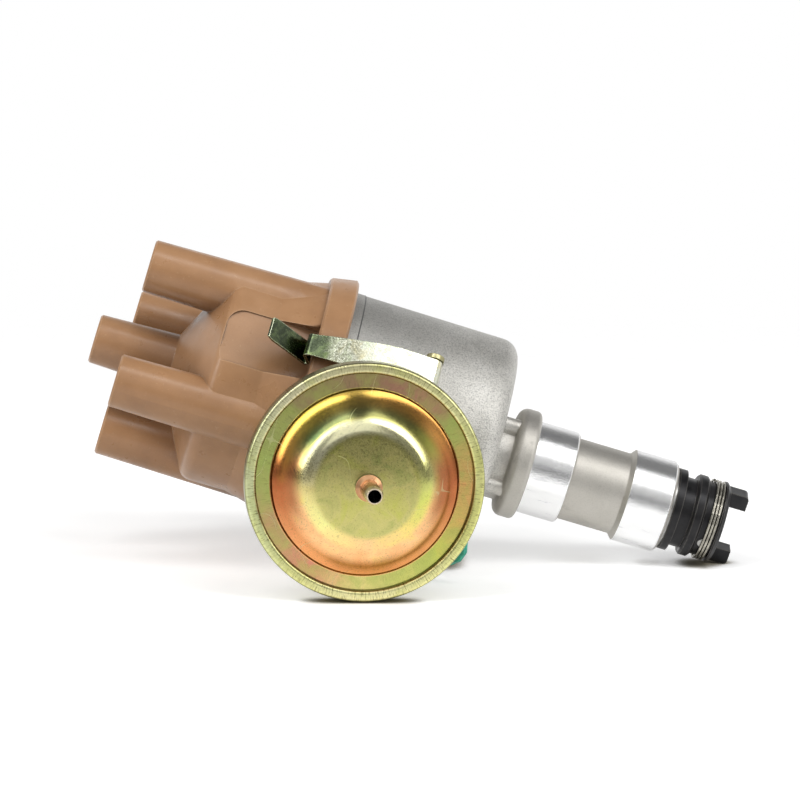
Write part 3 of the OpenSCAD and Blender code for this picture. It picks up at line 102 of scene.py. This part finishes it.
class Nodes:
    """A material and short calls that add nodes to it."""

    def __init__(self, name):
        self.mat = bpy.data.materials.new(name)
        self.mat.use_nodes = True
        self.tree = self.mat.node_tree
        self.tree.nodes.clear()
        self.out = self.add("ShaderNodeOutputMaterial")
        self.bsdf = self.add("ShaderNodeBsdfPrincipled")
        self.link(self.bsdf.outputs[0], self.out.inputs[0])
        self.obj = self.add("ShaderNodeTexCoord").outputs["Object"]

    @classmethod
    def of_world(cls, world):
        """The same calls on a world's nodes, with a background in place of the material."""
        self = cls.__new__(cls)
        world.use_nodes = True
        self.tree = world.node_tree
        self.tree.nodes.clear()
        self.out = self.add("ShaderNodeOutputWorld")
        self.bsdf = self.add("ShaderNodeBackground")
        self.link(self.bsdf.outputs[0], self.out.inputs[0])
        return self

    def add(self, kind, **props):
        n = self.tree.nodes.new(kind)
        for k, v in props.items():
            setattr(n, k, v)
        return n

    def link(self, a, b):
        self.tree.links.new(a, b)

    def put(self, socket, value):
        """Sets a socket to a number or colour, or links it."""
        if isinstance(value, bpy.types.NodeSocket):
            self.link(value, socket)
        else:
            socket.default_value = value

    def set(self, **values):
        for k, v in values.items():
            self.put(self.bsdf.inputs[k.replace("_", " ")], v)

    def math(self, op, a, b=None, clamp=False):
        n = self.add("ShaderNodeMath", operation=op, use_clamp=clamp)
        self.put(n.inputs[0], a)
        if b is not None:
            self.put(n.inputs[1], b)
        return n.outputs[0]

    def times(self, a, b):
        return self.math("MULTIPLY", a, b)

    def plus(self, a, b, clamp=False):
        return self.math("ADD", a, b, clamp)

    def less(self, a, b):
        return self.math("SUBTRACT", a, b)

    def vector_math(self, op, v, constant, output=0):
        n = self.add("ShaderNodeVectorMath", operation=op)
        self.put(n.inputs[0], v)
        n.inputs[1].default_value = constant
        return n.outputs[output]

    def dot(self, v, axis):
        return self.vector_math("DOT_PRODUCT", v, axis, "Value")

    def scaled(self, v, scale):
        return self.vector_math("MULTIPLY", v, scale)

    def vector(self, x, y, z):
        n = self.add("ShaderNodeCombineXYZ")
        for i, v in enumerate((x, y, z)):
            self.put(n.inputs[i], v)
        return n.outputs[0]

    def noise(self, size, detail=3.0, rough=0.5, vector=None, distortion=0.0):
        """Noise from 0 to 1 whose features are about that many millimetres."""
        n = self.add("ShaderNodeTexNoise")
        self.put(n.inputs["Vector"], self.obj if vector is None else vector)
        n.inputs["Scale"].default_value = 1.0 / (size * MM)
        n.inputs["Detail"].default_value = detail
        n.inputs["Roughness"].default_value = rough
        n.inputs["Distortion"].default_value = distortion
        return n.outputs[0]

    def ramp(self, fac, *stops):
        """Runs through the stops, each a position with a grey value or a colour."""
        n = self.add("ShaderNodeValToRGB")
        e = n.color_ramp.elements
        while len(e) < len(stops):
            e.new(0.5)
        for i, (pos, colour) in enumerate(stops):
            e[i].position = pos
            e[i].color = (colour, colour, colour, 1) if isinstance(colour, (int, float)) else colour
        self.put(n.inputs[0], fac)
        return n.outputs[0]

    def range(self, value, lo, hi, to_lo=0.0, to_hi=1.0, smooth=True):
        n = self.add("ShaderNodeMapRange")
        n.interpolation_type = "SMOOTHSTEP" if smooth else "LINEAR"
        self.put(n.inputs["Value"], value)
        n.inputs["From Min"].default_value = lo
        n.inputs["From Max"].default_value = hi
        n.inputs["To Min"].default_value = to_lo
        n.inputs["To Max"].default_value = to_hi
        return n.outputs[0]

    def zone(self, value, start, full, end, gone):
        """1 between full and end, 0 below start and above gone."""
        return self.times(self.range(value, start, full), self.range(value, gone, end))

    def mix(self, fac, a, b):
        n = self.add("ShaderNodeMix", data_type="RGBA")
        self.put(n.inputs[0], fac)
        self.put(n.inputs[6], a)
        self.put(n.inputs[7], b)
        return n.outputs[2]

    def bump(self, height, distance, strength=1.0, normal=None):
        n = self.add("ShaderNodeBump")
        n.inputs["Strength"].default_value = strength
        n.inputs["Distance"].default_value = distance * MM
        self.put(n.inputs["Height"], height)
        if normal is not None:
            self.link(normal, n.inputs["Normal"])
        return n.outputs[0]

    def bevel(self, radius):
        n = self.add("ShaderNodeBevel", samples=6)
        n.inputs["Radius"].default_value = radius * MM
        return n.outputs[0]

    def edges(self, radius):
        """1 near sharp outer edges, 0 elsewhere."""
        n = self.add("ShaderNodeVectorMath", operation="DOT_PRODUCT")
        self.link(self.bevel(radius), n.inputs[0])
        self.link(self.add("ShaderNodeNewGeometry").outputs["Normal"], n.inputs[1])
        return self.range(n.outputs["Value"], 0.998, 0.93)

    def recess_shade_mask(self, reach, most, least):
        """0.7 in recesses whose walls stand that many millimetres apart, 0 in the open: a mask for painted
        shade.
        """
        n = self.add("ShaderNodeAmbientOcclusion", samples=8)
        n.inputs["Distance"].default_value = reach * MM
        return self.range(n.outputs["AO"], least, most, 0.0, 0.7)

    def polar(self, at, *axes):
        """x, y, z, radius and angle in a frame of its own."""
        p = self.vector_math("SUBTRACT", self.obj, at)
        x, y, z = [self.dot(p, axis) for axis in axes]
        r = self.math("SQRT", self.plus(self.times(x, x), self.times(y, y)))
        return x, y, z, r, self.math("ARCTAN2", y, x)

    def shaft_polar(self):
        """Height, radius and angle round the shaft."""
        return self.polar((0, 0, 0), (1, 0, 0), (0, 1, 0), (0, 0, 1))[2:]

    def capsule_polar(self):
        """x, y, reach from the shaft, radius and angle round the capsule's axis."""
        return self.polar(CAPSULE_AT - CAPSULE_Z * PAD_REACH, CAPSULE_X, CAPSULE_Y, CAPSULE_Z)


def cap_moulding():
    m = Nodes("cap_moulding")
    blotch = m.noise(14, 4, 0.55)
    grain = m.noise(0.35, 2, 0.6)
    speck = m.ramp(m.noise(0.9, 2, 0.5), (0.66, 0.0), (0.74, 1.0))
    base = m.ramp(blotch, (0.3, srgb(164, 122, 86)), (0.5, srgb(177, 133, 94)),
                  (0.72, srgb(187, 143, 104)))
    base = m.mix(m.times(grain, 0.14), base, srgb(124, 90, 60))
    base = m.mix(m.times(speck, 0.2), base, srgb(208, 176, 140))
    # Painted highlight: lighter lines along the moulding's sharp edges and ridges
    base = m.mix(m.times(m.edges(0.7), 0.3), base, srgb(222, 182, 140))
    # Painted shade: darker brown in the recesses between the towers, where an ambient occlusion mask finds
    # walls within 22 mm
    base = m.mix(m.recess_shade_mask(22, 0.45, 0.95), base, srgb(104, 74, 50))
    m.set(Base_Color=base, Roughness=m.range(m.noise(5, 4, 0.6), 0.3, 0.75, 0.27, 0.4),
          Normal=m.bump(grain, 0.02, 0.6, m.bump(m.noise(3.5, 2, 0.5), 0.05, 0.5, m.bevel(0.35))))
    m.bsdf.inputs["IOR"].default_value = 1.5
    return m.mat


def casting():
    m = Nodes("casting")
    z, r, angle = m.shaft_polar()
    grain = m.noise(0.38, 3, 0.7)
    on_bowl = m.range(z, 6 * MM, 12 * MM, 0.45, 1.0)
    cast = m.ramp(m.noise(9, 4, 0.55), (0.3, srgb(200, 198, 192)), (0.55, srgb(213, 211, 205)),
                  (0.75, srgb(222, 220, 215)))
    pits = m.times(on_bowl, m.ramp(grain, (0.34, 0.7), (0.54, 0.0)))
    cast = m.mix(pits, cast, srgb(110, 109, 106))
    # Duller on the neck; greyer towards the rim, a painted reflection of the dark cap; with a dark line under
    # the rim band
    cast = m.mix(m.range(z, 11 * MM, 6 * MM, 0.0, 0.6), cast, srgb(178, 173, 164))
    cast = m.mix(m.range(z, 24 * MM, 58 * MM, 0.0, 0.4), cast, srgb(150, 149, 146))
    line = m.range(m.math("ABSOLUTE", m.less(z, RIM_LINE)), 0.28 * MM, 0.1 * MM)
    cast = m.mix(m.times(line, 0.8), cast, srgb(70, 70, 70))
    # Machined bands: the two lands of the shank
    on_land = m.math("GREATER_THAN", r, LAND_RADIUS)
    low = m.times(m.math("LESS_THAN", z, LOWER_LAND_TOP), on_land)
    between = m.times(m.math("GREATER_THAN", z, UPPER_LAND[0]), m.math("LESS_THAN", z, UPPER_LAND[1]))
    turned = m.plus(low, m.times(between, on_land), clamp=True)
    lines = m.noise(0.22, 2, 0.6, m.scaled(m.vector(r, angle, z), (1, 0.0002, 1)))
    streak = m.noise(1.6, 4, 0.7, m.vector(m.times(angle, 0.0135), m.times(z, 0.16), r))
    shine = m.ramp(streak, (0.26, srgb(206, 206, 208)), (0.42, srgb(240, 240, 240)),
                   (0.7, srgb(248, 248, 247)))
    base = m.mix(turned, cast, m.mix(m.times(lines, 0.14), shine, srgb(170, 170, 174)))
    stain = m.ramp(m.noise(6, 5, 0.65, distortion=0.6), (0.6, 0.0), (0.76, 0.45))
    base = m.mix(m.times(stain, m.less(1.0, turned)), base, srgb(118, 116, 110))
    rough = m.mix(turned, m.ramp(grain, (0.3, 0.4), (0.7, 0.52)), m.ramp(streak, (0.3, 0.22), (0.7, 0.13)))
    cast_bump = m.bump(m.times(grain, on_bowl), 0.16, 0.8, m.bevel(0.4))
    m.set(Base_Color=base, Metallic=m.range(turned, 0, 1, 0.9, 1.0, False), Roughness=rough,
          Normal=m.bump(lines, 0.01, 0.25, cast_bump))
    return m.mat


def around(m, angle, *tones):
    """Colours round the capsule, turning from 6 o'clock by way of 3, 12 and 9, each with its tone: zinc film
    colours, and on the dome also painted highlight and reflection tones.
    """
    turn = m.math("FRACT", m.plus(m.math("DIVIDE", angle, math.tau), SIX_O_CLOCK))
    drift = m.times(m.less(m.noise(9, 3, 0.6), 0.5), 0.14)
    return m.ramp(m.plus(turn, drift, clamp=True), *[(at, srgb(*tone)) for at, tone in tones])


def fine_marks(m, angle, r):
    """Short scratches that run out from the capsule's middle, from 0 to 1."""
    return m.noise(0.4, 4, 0.75, m.vector(m.times(angle, 0.03), m.times(r, 0.14), 0.0))


def hairs(m, size, width):
    """1 along thin curved lines, as light scratches leave."""
    near = m.math("ABSOLUTE", m.less(m.noise(size, 0, 0.4), 0.5))
    return m.range(near, width, width * 0.3)


def capsule_dome():
    m = Nodes("zinc_dome")
    x, y, _, r, angle = m.capsule_polar()
    patch = m.noise(7, 4, 0.6, distortion=0.6)
    # The flat ring round the dome has the strongest colours
    ring = around(m, angle, (0.0, (214, 200, 128)), (0.12, (190, 196, 96)), (0.24, (222, 160, 104)),
                  (0.34, (176, 186, 104)), (0.42, (184, 128, 112)), (0.5, (164, 132, 102)),
                  (0.6, (160, 142, 102)), (0.72, (166, 182, 104)), (0.82, (188, 158, 112)),
                  (0.9, (214, 134, 116)), (1.0, (214, 200, 128)))
    ring = m.mix(m.ramp(patch, (0.4, 0.0), (0.62, 0.6)), ring, srgb(168, 178, 96))
    # The dome's top; its wall towards the table, lighter in peach film colours as a painted reflection of the
    # table; and the flanks beside it, darker in an orange film colour as painted shade
    top = m.ramp(patch, (0.3, srgb(168, 170, 100)), (0.5, srgb(194, 186, 118)), (0.72, srgb(184, 184, 92)))
    low = m.ramp(patch, (0.3, srgb(236, 176, 122)), (0.55, srgb(244, 196, 140)), (0.75, srgb(238, 206, 120)))
    down = m.plus(m.times(x, -0.967), m.times(y, -0.252))
    wall = m.range(r, 13.5 * MM, 18 * MM)
    dome = m.mix(m.times(wall, m.range(down, -3 * MM, 8 * MM)), top, low)
    flank = m.times(m.range(m.math("ABSOLUTE", down), 15 * MM, 4 * MM), m.range(r, 17 * MM, 21 * MM))
    dome = m.mix(flank, dome, srgb(168, 110, 72))
    # From the middle out: a shoulder with a painted highlight, a dark band on the upper side with a painted
    # reflection, and the foot
    shoulder = m.zone(r, 13.6 * MM, 15.4 * MM, 17 * MM, 19 * MM)
    # Painted highlight: near white on the upper side, tinted by the film elsewhere
    painted_highlight_tone = around(m, angle, (0.0, (240, 196, 144)), (0.1, (236, 212, 126)), (0.21, (196, 206, 100)),
                  (0.3, (212, 210, 140)), (0.42, (240, 236, 196)), (0.65, (244, 240, 204)),
                  (0.76, (210, 196, 130)), (0.86, (232, 234, 150)), (0.94, (242, 206, 140)),
                  (1.0, (240, 196, 144)))
    dome = m.mix(m.times(shoulder, 0.8), dome, painted_highlight_tone)
    # Painted reflection of a dark room overhead: the dark band on the upper side
    band = m.zone(r, 17.8 * MM, 19.2 * MM, 21.5 * MM, 23.5 * MM)
    dark_room_reflection = around(m, angle, (0.0, (120, 124, 74)), (0.3, (150, 150, 66)), (0.42, (128, 126, 74)),
                  (0.52, (104, 104, 66)), (0.62, (70, 86, 54)), (0.74, (84, 92, 60)), (1.0, (120, 124, 74)))
    dome = m.mix(m.times(band, m.range(down, -4 * MM, -13 * MM)), dome, dark_room_reflection)
    # The foot in orange film colours, lighter at the bottom as a painted reflection of the table
    edge = m.zone(r, 20 * MM, 23.5 * MM, 25.6 * MM, 26.4 * MM)
    foot = around(m, angle, (0.0, (232, 154, 88)), (0.12, (226, 150, 92)), (0.25, (176, 98, 62)),
                  (0.4, (206, 140, 68)), (0.5, (160, 126, 56)), (0.62, (184, 156, 58)), (0.75, (170, 94, 56)),
                  (0.88, (226, 150, 96)), (1.0, (232, 154, 88)))
    dome = m.mix(m.times(edge, 0.85), dome, foot)
    on_ring = m.range(r, RING_INNER - 0.1 * MM, RING_INNER + 0.3 * MM)
    base = m.mix(on_ring, dome, ring)
    marks = m.mix(on_ring, m.noise(0.5, 4, 0.7), fine_marks(m, angle, r))
    base = m.mix(m.ramp(marks, (0.34, 0.4), (0.46, 0.0)), base, srgb(104, 96, 56))
    light_hairs = m.times(hairs(m, 15, 0.003), m.ramp(m.noise(9, 1), (0.5, 0.0), (0.56, 1.0)))
    base = m.mix(m.times(light_hairs, 0.3), base, srgb(236, 232, 180))
    # The pressing's flat top, steep wall and filleted foot: its slope at each radius turns the shading normal
    slope = m.ramp(m.math("DIVIDE", r, RING_INNER), (0.0, 0.01), (0.5, 0.05), (0.58, 0.16), (0.66, 0.44),
                   (0.78, 0.6), (0.88, 0.66), (0.94, 0.53), (1.0, 0.4))
    slope = m.times(slope, math.radians(70))
    outward = m.math("DIVIDE", m.math("SINE", slope), m.math("MAXIMUM", r, 0.1 * MM))
    along = m.math("COSINE", slope)
    normal = []
    for x_part, y_part, z_part in zip(CAPSULE_X, CAPSULE_Y, CAPSULE_Z):
        radial = m.plus(m.times(x, x_part), m.times(y, y_part))
        normal.append(m.plus(m.times(outward, radial), m.times(along, z_part)))
    to_world = m.add("ShaderNodeVectorTransform", vector_type="NORMAL", convert_from="OBJECT",
                     convert_to="WORLD")
    m.link(m.vector(*normal), to_world.inputs[0])
    on_dome = m.times(m.math("LESS_THAN", r, RING_INNER - 0.6 * MM), m.math("GREATER_THAN", r, 4 * MM))
    shaded = m.mix(on_dome, m.bevel(0.4), to_world.outputs[0])
    m.set(Base_Color=base, Metallic=1.0,
          Roughness=m.plus(m.range(marks, 0.2, 0.8, 0.14, 0.26), m.times(light_hairs, 0.2)),
          Normal=m.bump(marks, 0.005, 0.5, m.bump(m.noise(7, 3, 0.5), 0.05, 0.5, shaded)))
    return m.mat


def capsule_rim():
    m = Nodes("zinc_rim")
    r, angle = m.capsule_polar()[3:]
    base = around(m, angle, (0.0, (236, 232, 176)), (0.2, (214, 214, 134)), (0.36, (222, 220, 160)),
                  (0.5, (206, 200, 152)), (0.62, (214, 210, 172)), (0.78, (206, 214, 160)),
                  (0.9, (216, 216, 148)), (1.0, (236, 232, 176)))
    patch = m.ramp(m.noise(6, 4, 0.6, distortion=0.5), (0.5, 0.0), (0.7, 0.5))
    base = m.mix(patch, base, srgb(196, 200, 116))
    radial = fine_marks(m, angle, r)
    base = m.mix(m.ramp(radial, (0.36, 0.75), (0.5, 0.0)), base, srgb(128, 124, 78))
    inner = m.range(m.math("ABSOLUTE", m.less(r, LIP_INNER)), 0.45 * MM, 0.15 * MM)
    outer = m.times(m.range(r, RIM_OUTER - 0.5 * MM, RIM_OUTER - 0.1 * MM), 0.8)
    base = m.mix(m.times(m.math("MAXIMUM", inner, outer), 0.75), base, srgb(92, 88, 56))
    m.set(Base_Color=base, Metallic=1.0, Roughness=m.range(radial, 0.2, 0.8, 0.24, 0.4),
          Normal=m.bump(radial, 0.01, 0.6, m.bump(m.noise(5, 3, 0.5), 0.05, 0.5, m.bevel(0.3))))
    return m.mat


def plated(name, tone, dark, rough=0.3):
    """Plated steel in one tone, with a darker film in places and fine scratches."""
    m = Nodes(name)
    cloud = m.noise(6, 4, 0.6, distortion=0.4)
    scratch = m.noise(0.25, 3, 0.7, m.scaled(m.obj, (1, 1, 0.08)))
    base = m.mix(m.ramp(cloud, (0.42, 0.0), (0.72, 0.8)), tone, dark)
    base = m.mix(m.ramp(scratch, (0.3, 0.4), (0.45, 0.0)), base, dark)
    m.set(Base_Color=base, Metallic=1.0, Roughness=m.range(scratch, 0.2, 0.8, rough - 0.06, rough + 0.12),
          Normal=m.bump(scratch, 0.006, 0.4, m.bevel(0.2)))
    return m.mat


def clip_metal():
    m = Nodes("clip_metal")
    z = m.dot(m.obj, (0, 0, 1))
    cloud = m.noise(4, 4, 0.65, distortion=0.6)
    base = m.ramp(cloud, (0.3, srgb(184, 196, 158)), (0.5, srgb(218, 220, 204)), (0.7, srgb(226, 218, 178)))
    speck = m.noise(0.5, 3, 0.7)
    height = m.plus(z, m.times(m.less(cloud, 0.5), 8 * MM))
    grey = m.times(m.range(height, 55 * MM, 61 * MM), m.ramp(speck, (0.4, 0.9), (0.62, 0.25)))
    base = m.mix(grey, base, srgb(128, 130, 108))
    dark = m.range(height, 63 * MM, 67.5 * MM)
    film = m.ramp(cloud, (0.4, srgb(44, 54, 38)), (0.62, srgb(96, 112, 70)))
    base = m.mix(m.times(dark, 0.92), base, film)
    base = m.mix(m.times(m.edges(0.35), 0.8), base, srgb(226, 232, 200))
    m.set(Base_Color=base, Metallic=1.0, Roughness=m.range(speck, 0.3, 0.7, 0.16, 0.3),
          Normal=m.bump(m.noise(4, 2, 0.5), 0.1, 0.5, m.bevel(0.25)))
    return m.mat


def black_oxide():
    m = Nodes("black_oxide")
    z, r, angle = m.shaft_polar()
    cloud = m.noise(4, 4, 0.6)
    lines = m.noise(0.3, 2, 0.6, m.scaled(m.vector(r, angle, z), (1, 0.0003, 1)))
    base = m.ramp(cloud, (0.3, srgb(26, 26, 28)), (0.7, srgb(46, 45, 46)))
    base = m.mix(m.times(m.edges(0.45), 0.5), base, srgb(120, 116, 110))
    m.set(Base_Color=base, Metallic=0.6, Roughness=m.range(cloud, 0.3, 0.7, 0.3, 0.44),
          Normal=m.bump(lines, 0.015, 0.3, m.bevel(0.35)))
    return m.mat


def plain(name, colour, darker, rough, metallic=0.0, size=3.0, bump=0.03, bevel=0.2):
    """Inner and small pieces: one tone with a darker cloud, grain and rounded edges."""
    m = Nodes(name)
    cloud = m.noise(size, 4, 0.6)
    grain = m.noise(0.3, 3, 0.6)
    base = m.mix(m.ramp(cloud, (0.35, 0.0), (0.75, 1.0)), colour, darker)
    m.set(Base_Color=base, Metallic=metallic,
          Roughness=m.range(grain, 0.2, 0.8, max(rough - 0.08, 0.1), rough + 0.08),
          Normal=m.bump(grain, bump, 0.4, m.bevel(bevel)))
    return m.mat


def nipple_metal():
    m = Nodes("nipple_metal")
    z, r = m.capsule_polar()[2:4]
    cloud = m.noise(3, 4, 0.6)
    base = m.ramp(cloud, (0.3, srgb(176, 128, 92)), (0.7, srgb(206, 160, 118)))
    # Painted highlight: the tip's ring is lighter and cream
    base = m.mix(m.range(z, *NIPPLE_TIP), base, srgb(222, 206, 180))
    # Painted shade: black inside the bore
    base = m.mix(m.math("LESS_THAN", r, NIPPLE_BORE), base, srgb(30, 26, 22))
    m.set(Base_Color=base, Metallic=1.0, Roughness=m.range(cloud, 0.3, 0.7, 0.24, 0.36),
          Normal=m.bevel(0.25))
    return m.mat


steel = plain("steel", srgb(176, 175, 172), srgb(128, 126, 122), 0.32, 1.0)
wire = plain("spring_steel", srgb(186, 182, 170), srgb(130, 126, 116), 0.26, 1.0, 2.0, 0.01, 0.1)
brass = plain("brass", srgb(206, 172, 100), srgb(150, 116, 60), 0.3, 1.0)
bronze = plain("bronze", srgb(166, 126, 84), srgb(110, 80, 52), 0.46, 1.0)
inner_zinc = plated("inner_zinc", srgb(196, 184, 132), srgb(140, 128, 90))
outer_zinc = plated("outer_zinc", srgb(190, 184, 140), srgb(128, 120, 84))
rotor_moulding = plain("rotor_moulding", srgb(104, 62, 40), srgb(70, 40, 26), 0.5)
carbon = plain("carbon", srgb(40, 40, 42), srgb(24, 24, 26), 0.6)
rubber = plain("rubber", srgb(32, 32, 32), srgb(20, 20, 20), 0.7)
felt = plain("felt", srgb(206, 190, 150), srgb(150, 132, 96), 0.95, 0.0, 1.2, 0.3)
fibre = plain("fibre", srgb(132, 84, 52), srgb(96, 58, 34), 0.6)
insulator = plain("insulator", srgb(46, 42, 40), srgb(30, 27, 26), 0.5)
teal = plain("teal_insulation", srgb(66, 190, 160), srgb(40, 140, 120), 0.42, 0.0, 3.0, 0.02, 0.1)
can_metal = plated("can_metal", srgb(186, 186, 182), srgb(140, 138, 132), 0.34)

MATERIALS = {
    "housing": casting(), "distributor_cap": cap_moulding(),
    "vacuum_front_dome": capsule_dome(), "vacuum_rear_shell": capsule_rim(), "vacuum_nipple": nipple_metal(),
    "vacuum_bracket": outer_zinc, "front_clip_bracket": outer_zinc, "rear_clip_bracket": outer_zinc,
    "condenser_strap": outer_zinc, "front_clip": clip_metal(), "rear_clip": clip_metal(),
    "drive_coupling": black_oxide(), "coupling_spring_ring": wire, "brush_spring": wire,
    "vacuum_return_spring": wire, "advance_spring_a": wire, "advance_spring_b": wire,
    "contact_spring": wire, "upper_bush": bronze, "lower_bush": bronze, "thrust_washer": bronze,
    "cap_side_terminals": brass, "cap_centre_terminal": brass, "rotor_electrode": brass,
    "spade_terminal": brass,
    "carbon_brush": carbon, "rotor_body": rotor_moulding, "felt_pad": felt, "diaphragm": rubber,
    "contact_arm": fibre, "terminal_block": insulator, "condenser_lead": teal, "condenser_can": can_metal,
    "base_plate": inner_zinc, "breaker_plate": inner_zinc,
}
for name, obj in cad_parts.items():
    obj.data.materials.clear()
    obj.data.materials.append(MATERIALS.get(name, steel))


def coil(name, foot, axis, across, length, radius, wire_d, turns, sides=10):
    """A coiled spring with closed ends, from its foot along the axis. Its wire tapers at both ends."""
    beside = axis.cross(across)
    points, faces = [], []
    count = turns * COIL_STEPS
    for i in range(count + 1):
        u = i / count
        a = turns * math.tau * u
        out = across * math.cos(a) + beside * math.sin(a)
        middle = foot + out * radius + axis * (wire_d / 2 + (length - wire_d) * u * u * (3 - 2 * u))
        taper = min(1.0, 0.3 + 0.35 * i, 0.3 + 0.35 * (count - i))
        for k in range(sides):
            b = math.tau * k / sides
            points.append(middle + (out * math.cos(b) + axis * math.sin(b)) * wire_d / 2 * taper)
        if i:
            for k in range(sides):
                n = (k + 1) % sides
                low, high = (i - 1) * sides, i * sides
                faces.append((low + k, low + n, high + n, high + k))
    faces.append(tuple(reversed(range(sides))))
    faces.append(tuple(range(count * sides, (count + 1) * sides)))
    mesh = bpy.data.meshes.new(name)
    mesh.from_pydata([tuple(q) for q in points], [], faces)
    for face in mesh.polygons:
        face.use_smooth = True
    piece = bpy.data.objects.new(name, mesh)
    bpy.context.scene.collection.objects.link(piece)
    mesh.materials.append(wire)
    return piece


def place(name, data, x, y, z, at):
    """Adds a camera or a lamp at a point with these axes; it looks along -z."""
    obj = bpy.data.objects.new(name, data)
    obj.matrix_world = Matrix([*zip(x, y, z, at), (0, 0, 0, 1)])
    bpy.context.scene.collection.objects.link(obj)
    return obj


# The capsule's return spring and the brush spring, as coils in place of the CAD's springs
spring_foot = CAPSULE_AT + CAPSULE_Z * (SPRING_REACH - PAD_REACH)
return_coil = coil("return_coil", spring_foot, CAPSULE_Z, CAPSULE_X, length=SPRING_LENGTH, radius=8.5 * MM,
                   wire_d=0.95 * MM, turns=5)
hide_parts("vacuum_return_spring")
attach(return_coil, "housing")
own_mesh(return_coil)
brush_coil = coil("brush_coil", Vector((0, 0, 85.95 * MM)), Vector((0, 0, 1)), Vector((1, 0, 0)),
                  length=7.9 * MM, radius=1.8 * MM, wire_d=0.5 * MM, turns=9, sides=8)
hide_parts("brush_spring")
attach(brush_coil, "housing")

# Camera: e1 is the shaft's direction as the camera sees it, e2 is square to it
e1 = (Vector((0, 0, 1)) - CAM_DIR * CAM_DIR.z).normalized()
e2 = CAM_DIR.cross(e1)
right = -math.cos(CAM_ROLL) * e1 - math.sin(CAM_ROLL) * e2
up = math.sin(CAM_ROLL) * e1 - math.cos(CAM_ROLL) * e2
camera_data = bpy.data.cameras.new("camera")
camera_data.sensor_width = SENSOR
camera_data.lens = CAM_FOCAL_PX * SENSOR / IMAGE_PX
camera_data.clip_start, camera_data.clip_end = CAM_CLIP
eye = CAM_TARGET + CAM_DIR * CAM_DISTANCE
bpy.context.scene.camera = place("camera", camera_data, right, up, CAM_DIR, eye)

# Floor: the table that the object lies on, seen from above only
side = UP.cross(CAM_DIR).normalized()
ahead = side.cross(UP)
floor_mesh = bpy.data.meshes.new("floor")
corners = [UP * FLOOR_LEVEL + side * a * FLOOR_HALF + ahead * b * FLOOR_HALF
           for a, b in ((-1, -1), (1, -1), (1, 1), (-1, 1))]
floor_mesh.from_pydata([tuple(c) for c in corners], [], [(0, 1, 2, 3)])
floor = bpy.data.objects.new("floor", floor_mesh)
bpy.context.scene.collection.objects.link(floor)
floor_mesh.update()
if floor_mesh.polygons[0].normal.dot(UP) < 0:
    floor_mesh.flip_normals()

f = Nodes("table")
f.bsdf.inputs["Roughness"].default_value = 0.8
f.bsdf.inputs["Specular IOR Level"].default_value = 0.1
clear = f.add("ShaderNodeBsdfTransparent")
back = f.add("ShaderNodeNewGeometry").outputs["Backfacing"]
far = f.add("ShaderNodeVectorMath", operation="LENGTH")
f.link(f.obj, far.inputs[0])
hidden = f.math("MAXIMUM", back, f.range(far.outputs["Value"], *FLOOR_FADE))
cover = f.add("ShaderNodeMixShader")
f.link(hidden, cover.inputs[0])
glow = f.add("ShaderNodeEmission")
rays = f.add("ShaderNodeLightPath").outputs
# Painted contact shadow: the table's colour and glow darken within 5 mm of the object, by an ambient
# occlusion mask
near = f.add("ShaderNodeAmbientOcclusion", samples=12)
near.inputs["Distance"].default_value = 5 * MM
open_sky = f.range(near.outputs["AO"], 0.3, 0.97)
f.set(Base_Color=f.mix(open_sky, srgb(150, 142, 120), srgb(238, 238, 238)))
mirrored_ray = f.math("MAXIMUM", rays["Is Glossy Ray"], rays["Is Transmission Ray"])
shown = f.math("MAXIMUM", rays["Is Camera Ray"], mirrored_ray)
f.put(glow.inputs["Strength"], f.times(open_sky, f.times(shown, FLOOR_GLOW)))
lifted = f.add("ShaderNodeAddShader")
f.link(f.bsdf.outputs[0], lifted.inputs[0])
f.link(glow.outputs[0], lifted.inputs[1])
f.link(lifted.outputs[0], cover.inputs[1])
f.link(clear.outputs[0], cover.inputs[2])
f.link(cover.outputs[0], f.out.inputs[0])
floor_mesh.materials.append(f.mat)

# World: white where it is seen, dimmer as a light. Metal mirrors a darker room round the camera and overhead.
world = bpy.data.worlds.new("world")
bpy.context.scene.world = world
w = Nodes.of_world(world)
light_path = w.add("ShaderNodeLightPath")
camera_ray, glossy_ray = light_path.outputs["Is Camera Ray"], light_path.outputs["Is Glossy Ray"]
seen = w.math("MAXIMUM", camera_ray, light_path.outputs["Is Transmission Ray"])
ray = w.add("ShaderNodeTexCoord").outputs["Generated"]
towards, above = w.dot(ray, CAM_DIR), w.dot(ray, UP)
aside = w.math("ABSOLUTE", w.dot(ray, right))
window = w.times(w.range(aside, 0.4, 0.25), w.zone(above, 0.28, 0.38, 0.9, 0.97))
room = w.times(w.range(above, -0.1, 0.0),
               w.math("MAXIMUM", w.range(towards, 0.0, 0.35), w.range(above, 0.4, 0.7)))
room = w.times(room, w.less(1.0, w.times(window, w.range(towards, 0.0, 0.15))))
mirrored = w.less(1.0, w.times(room, ROOM_DARK))
strength = w.math("MAXIMUM", seen, w.times(glossy_ray, mirrored))
lit = w.times(w.less(1.0, w.math("MAXIMUM", seen, glossy_ray)), WORLD_LIGHT)
w.bsdf.inputs["Color"].default_value = (1, 1, 1, 1)
w.put(w.bsdf.inputs["Strength"], w.plus(strength, lit))


def softbox(name, offset, size):
    """An area light; offset is (right, up, towards the camera), size is (around, across) the view axis."""
    data = bpy.data.lights.new(name, "AREA")
    data.shape = "RECTANGLE"
    data.size, data.size_y = size
    data.energy = LAMP_POWER
    at = LAMP_AIM + right * offset[0] + up * offset[1] + CAM_DIR * offset[2]
    z = (at - LAMP_AIM).normalized()
    x = CAM_DIR.cross(z).normalized()
    place(name, data, x, z.cross(x), z, at)


softbox("left", (-0.68, 0.66, 0.7), (1.5, 0.26))
softbox("right", (0.72, 0.68, 0.66), (1.5, 0.38))

bpy.context.scene.view_settings.view_transform = "Standard"
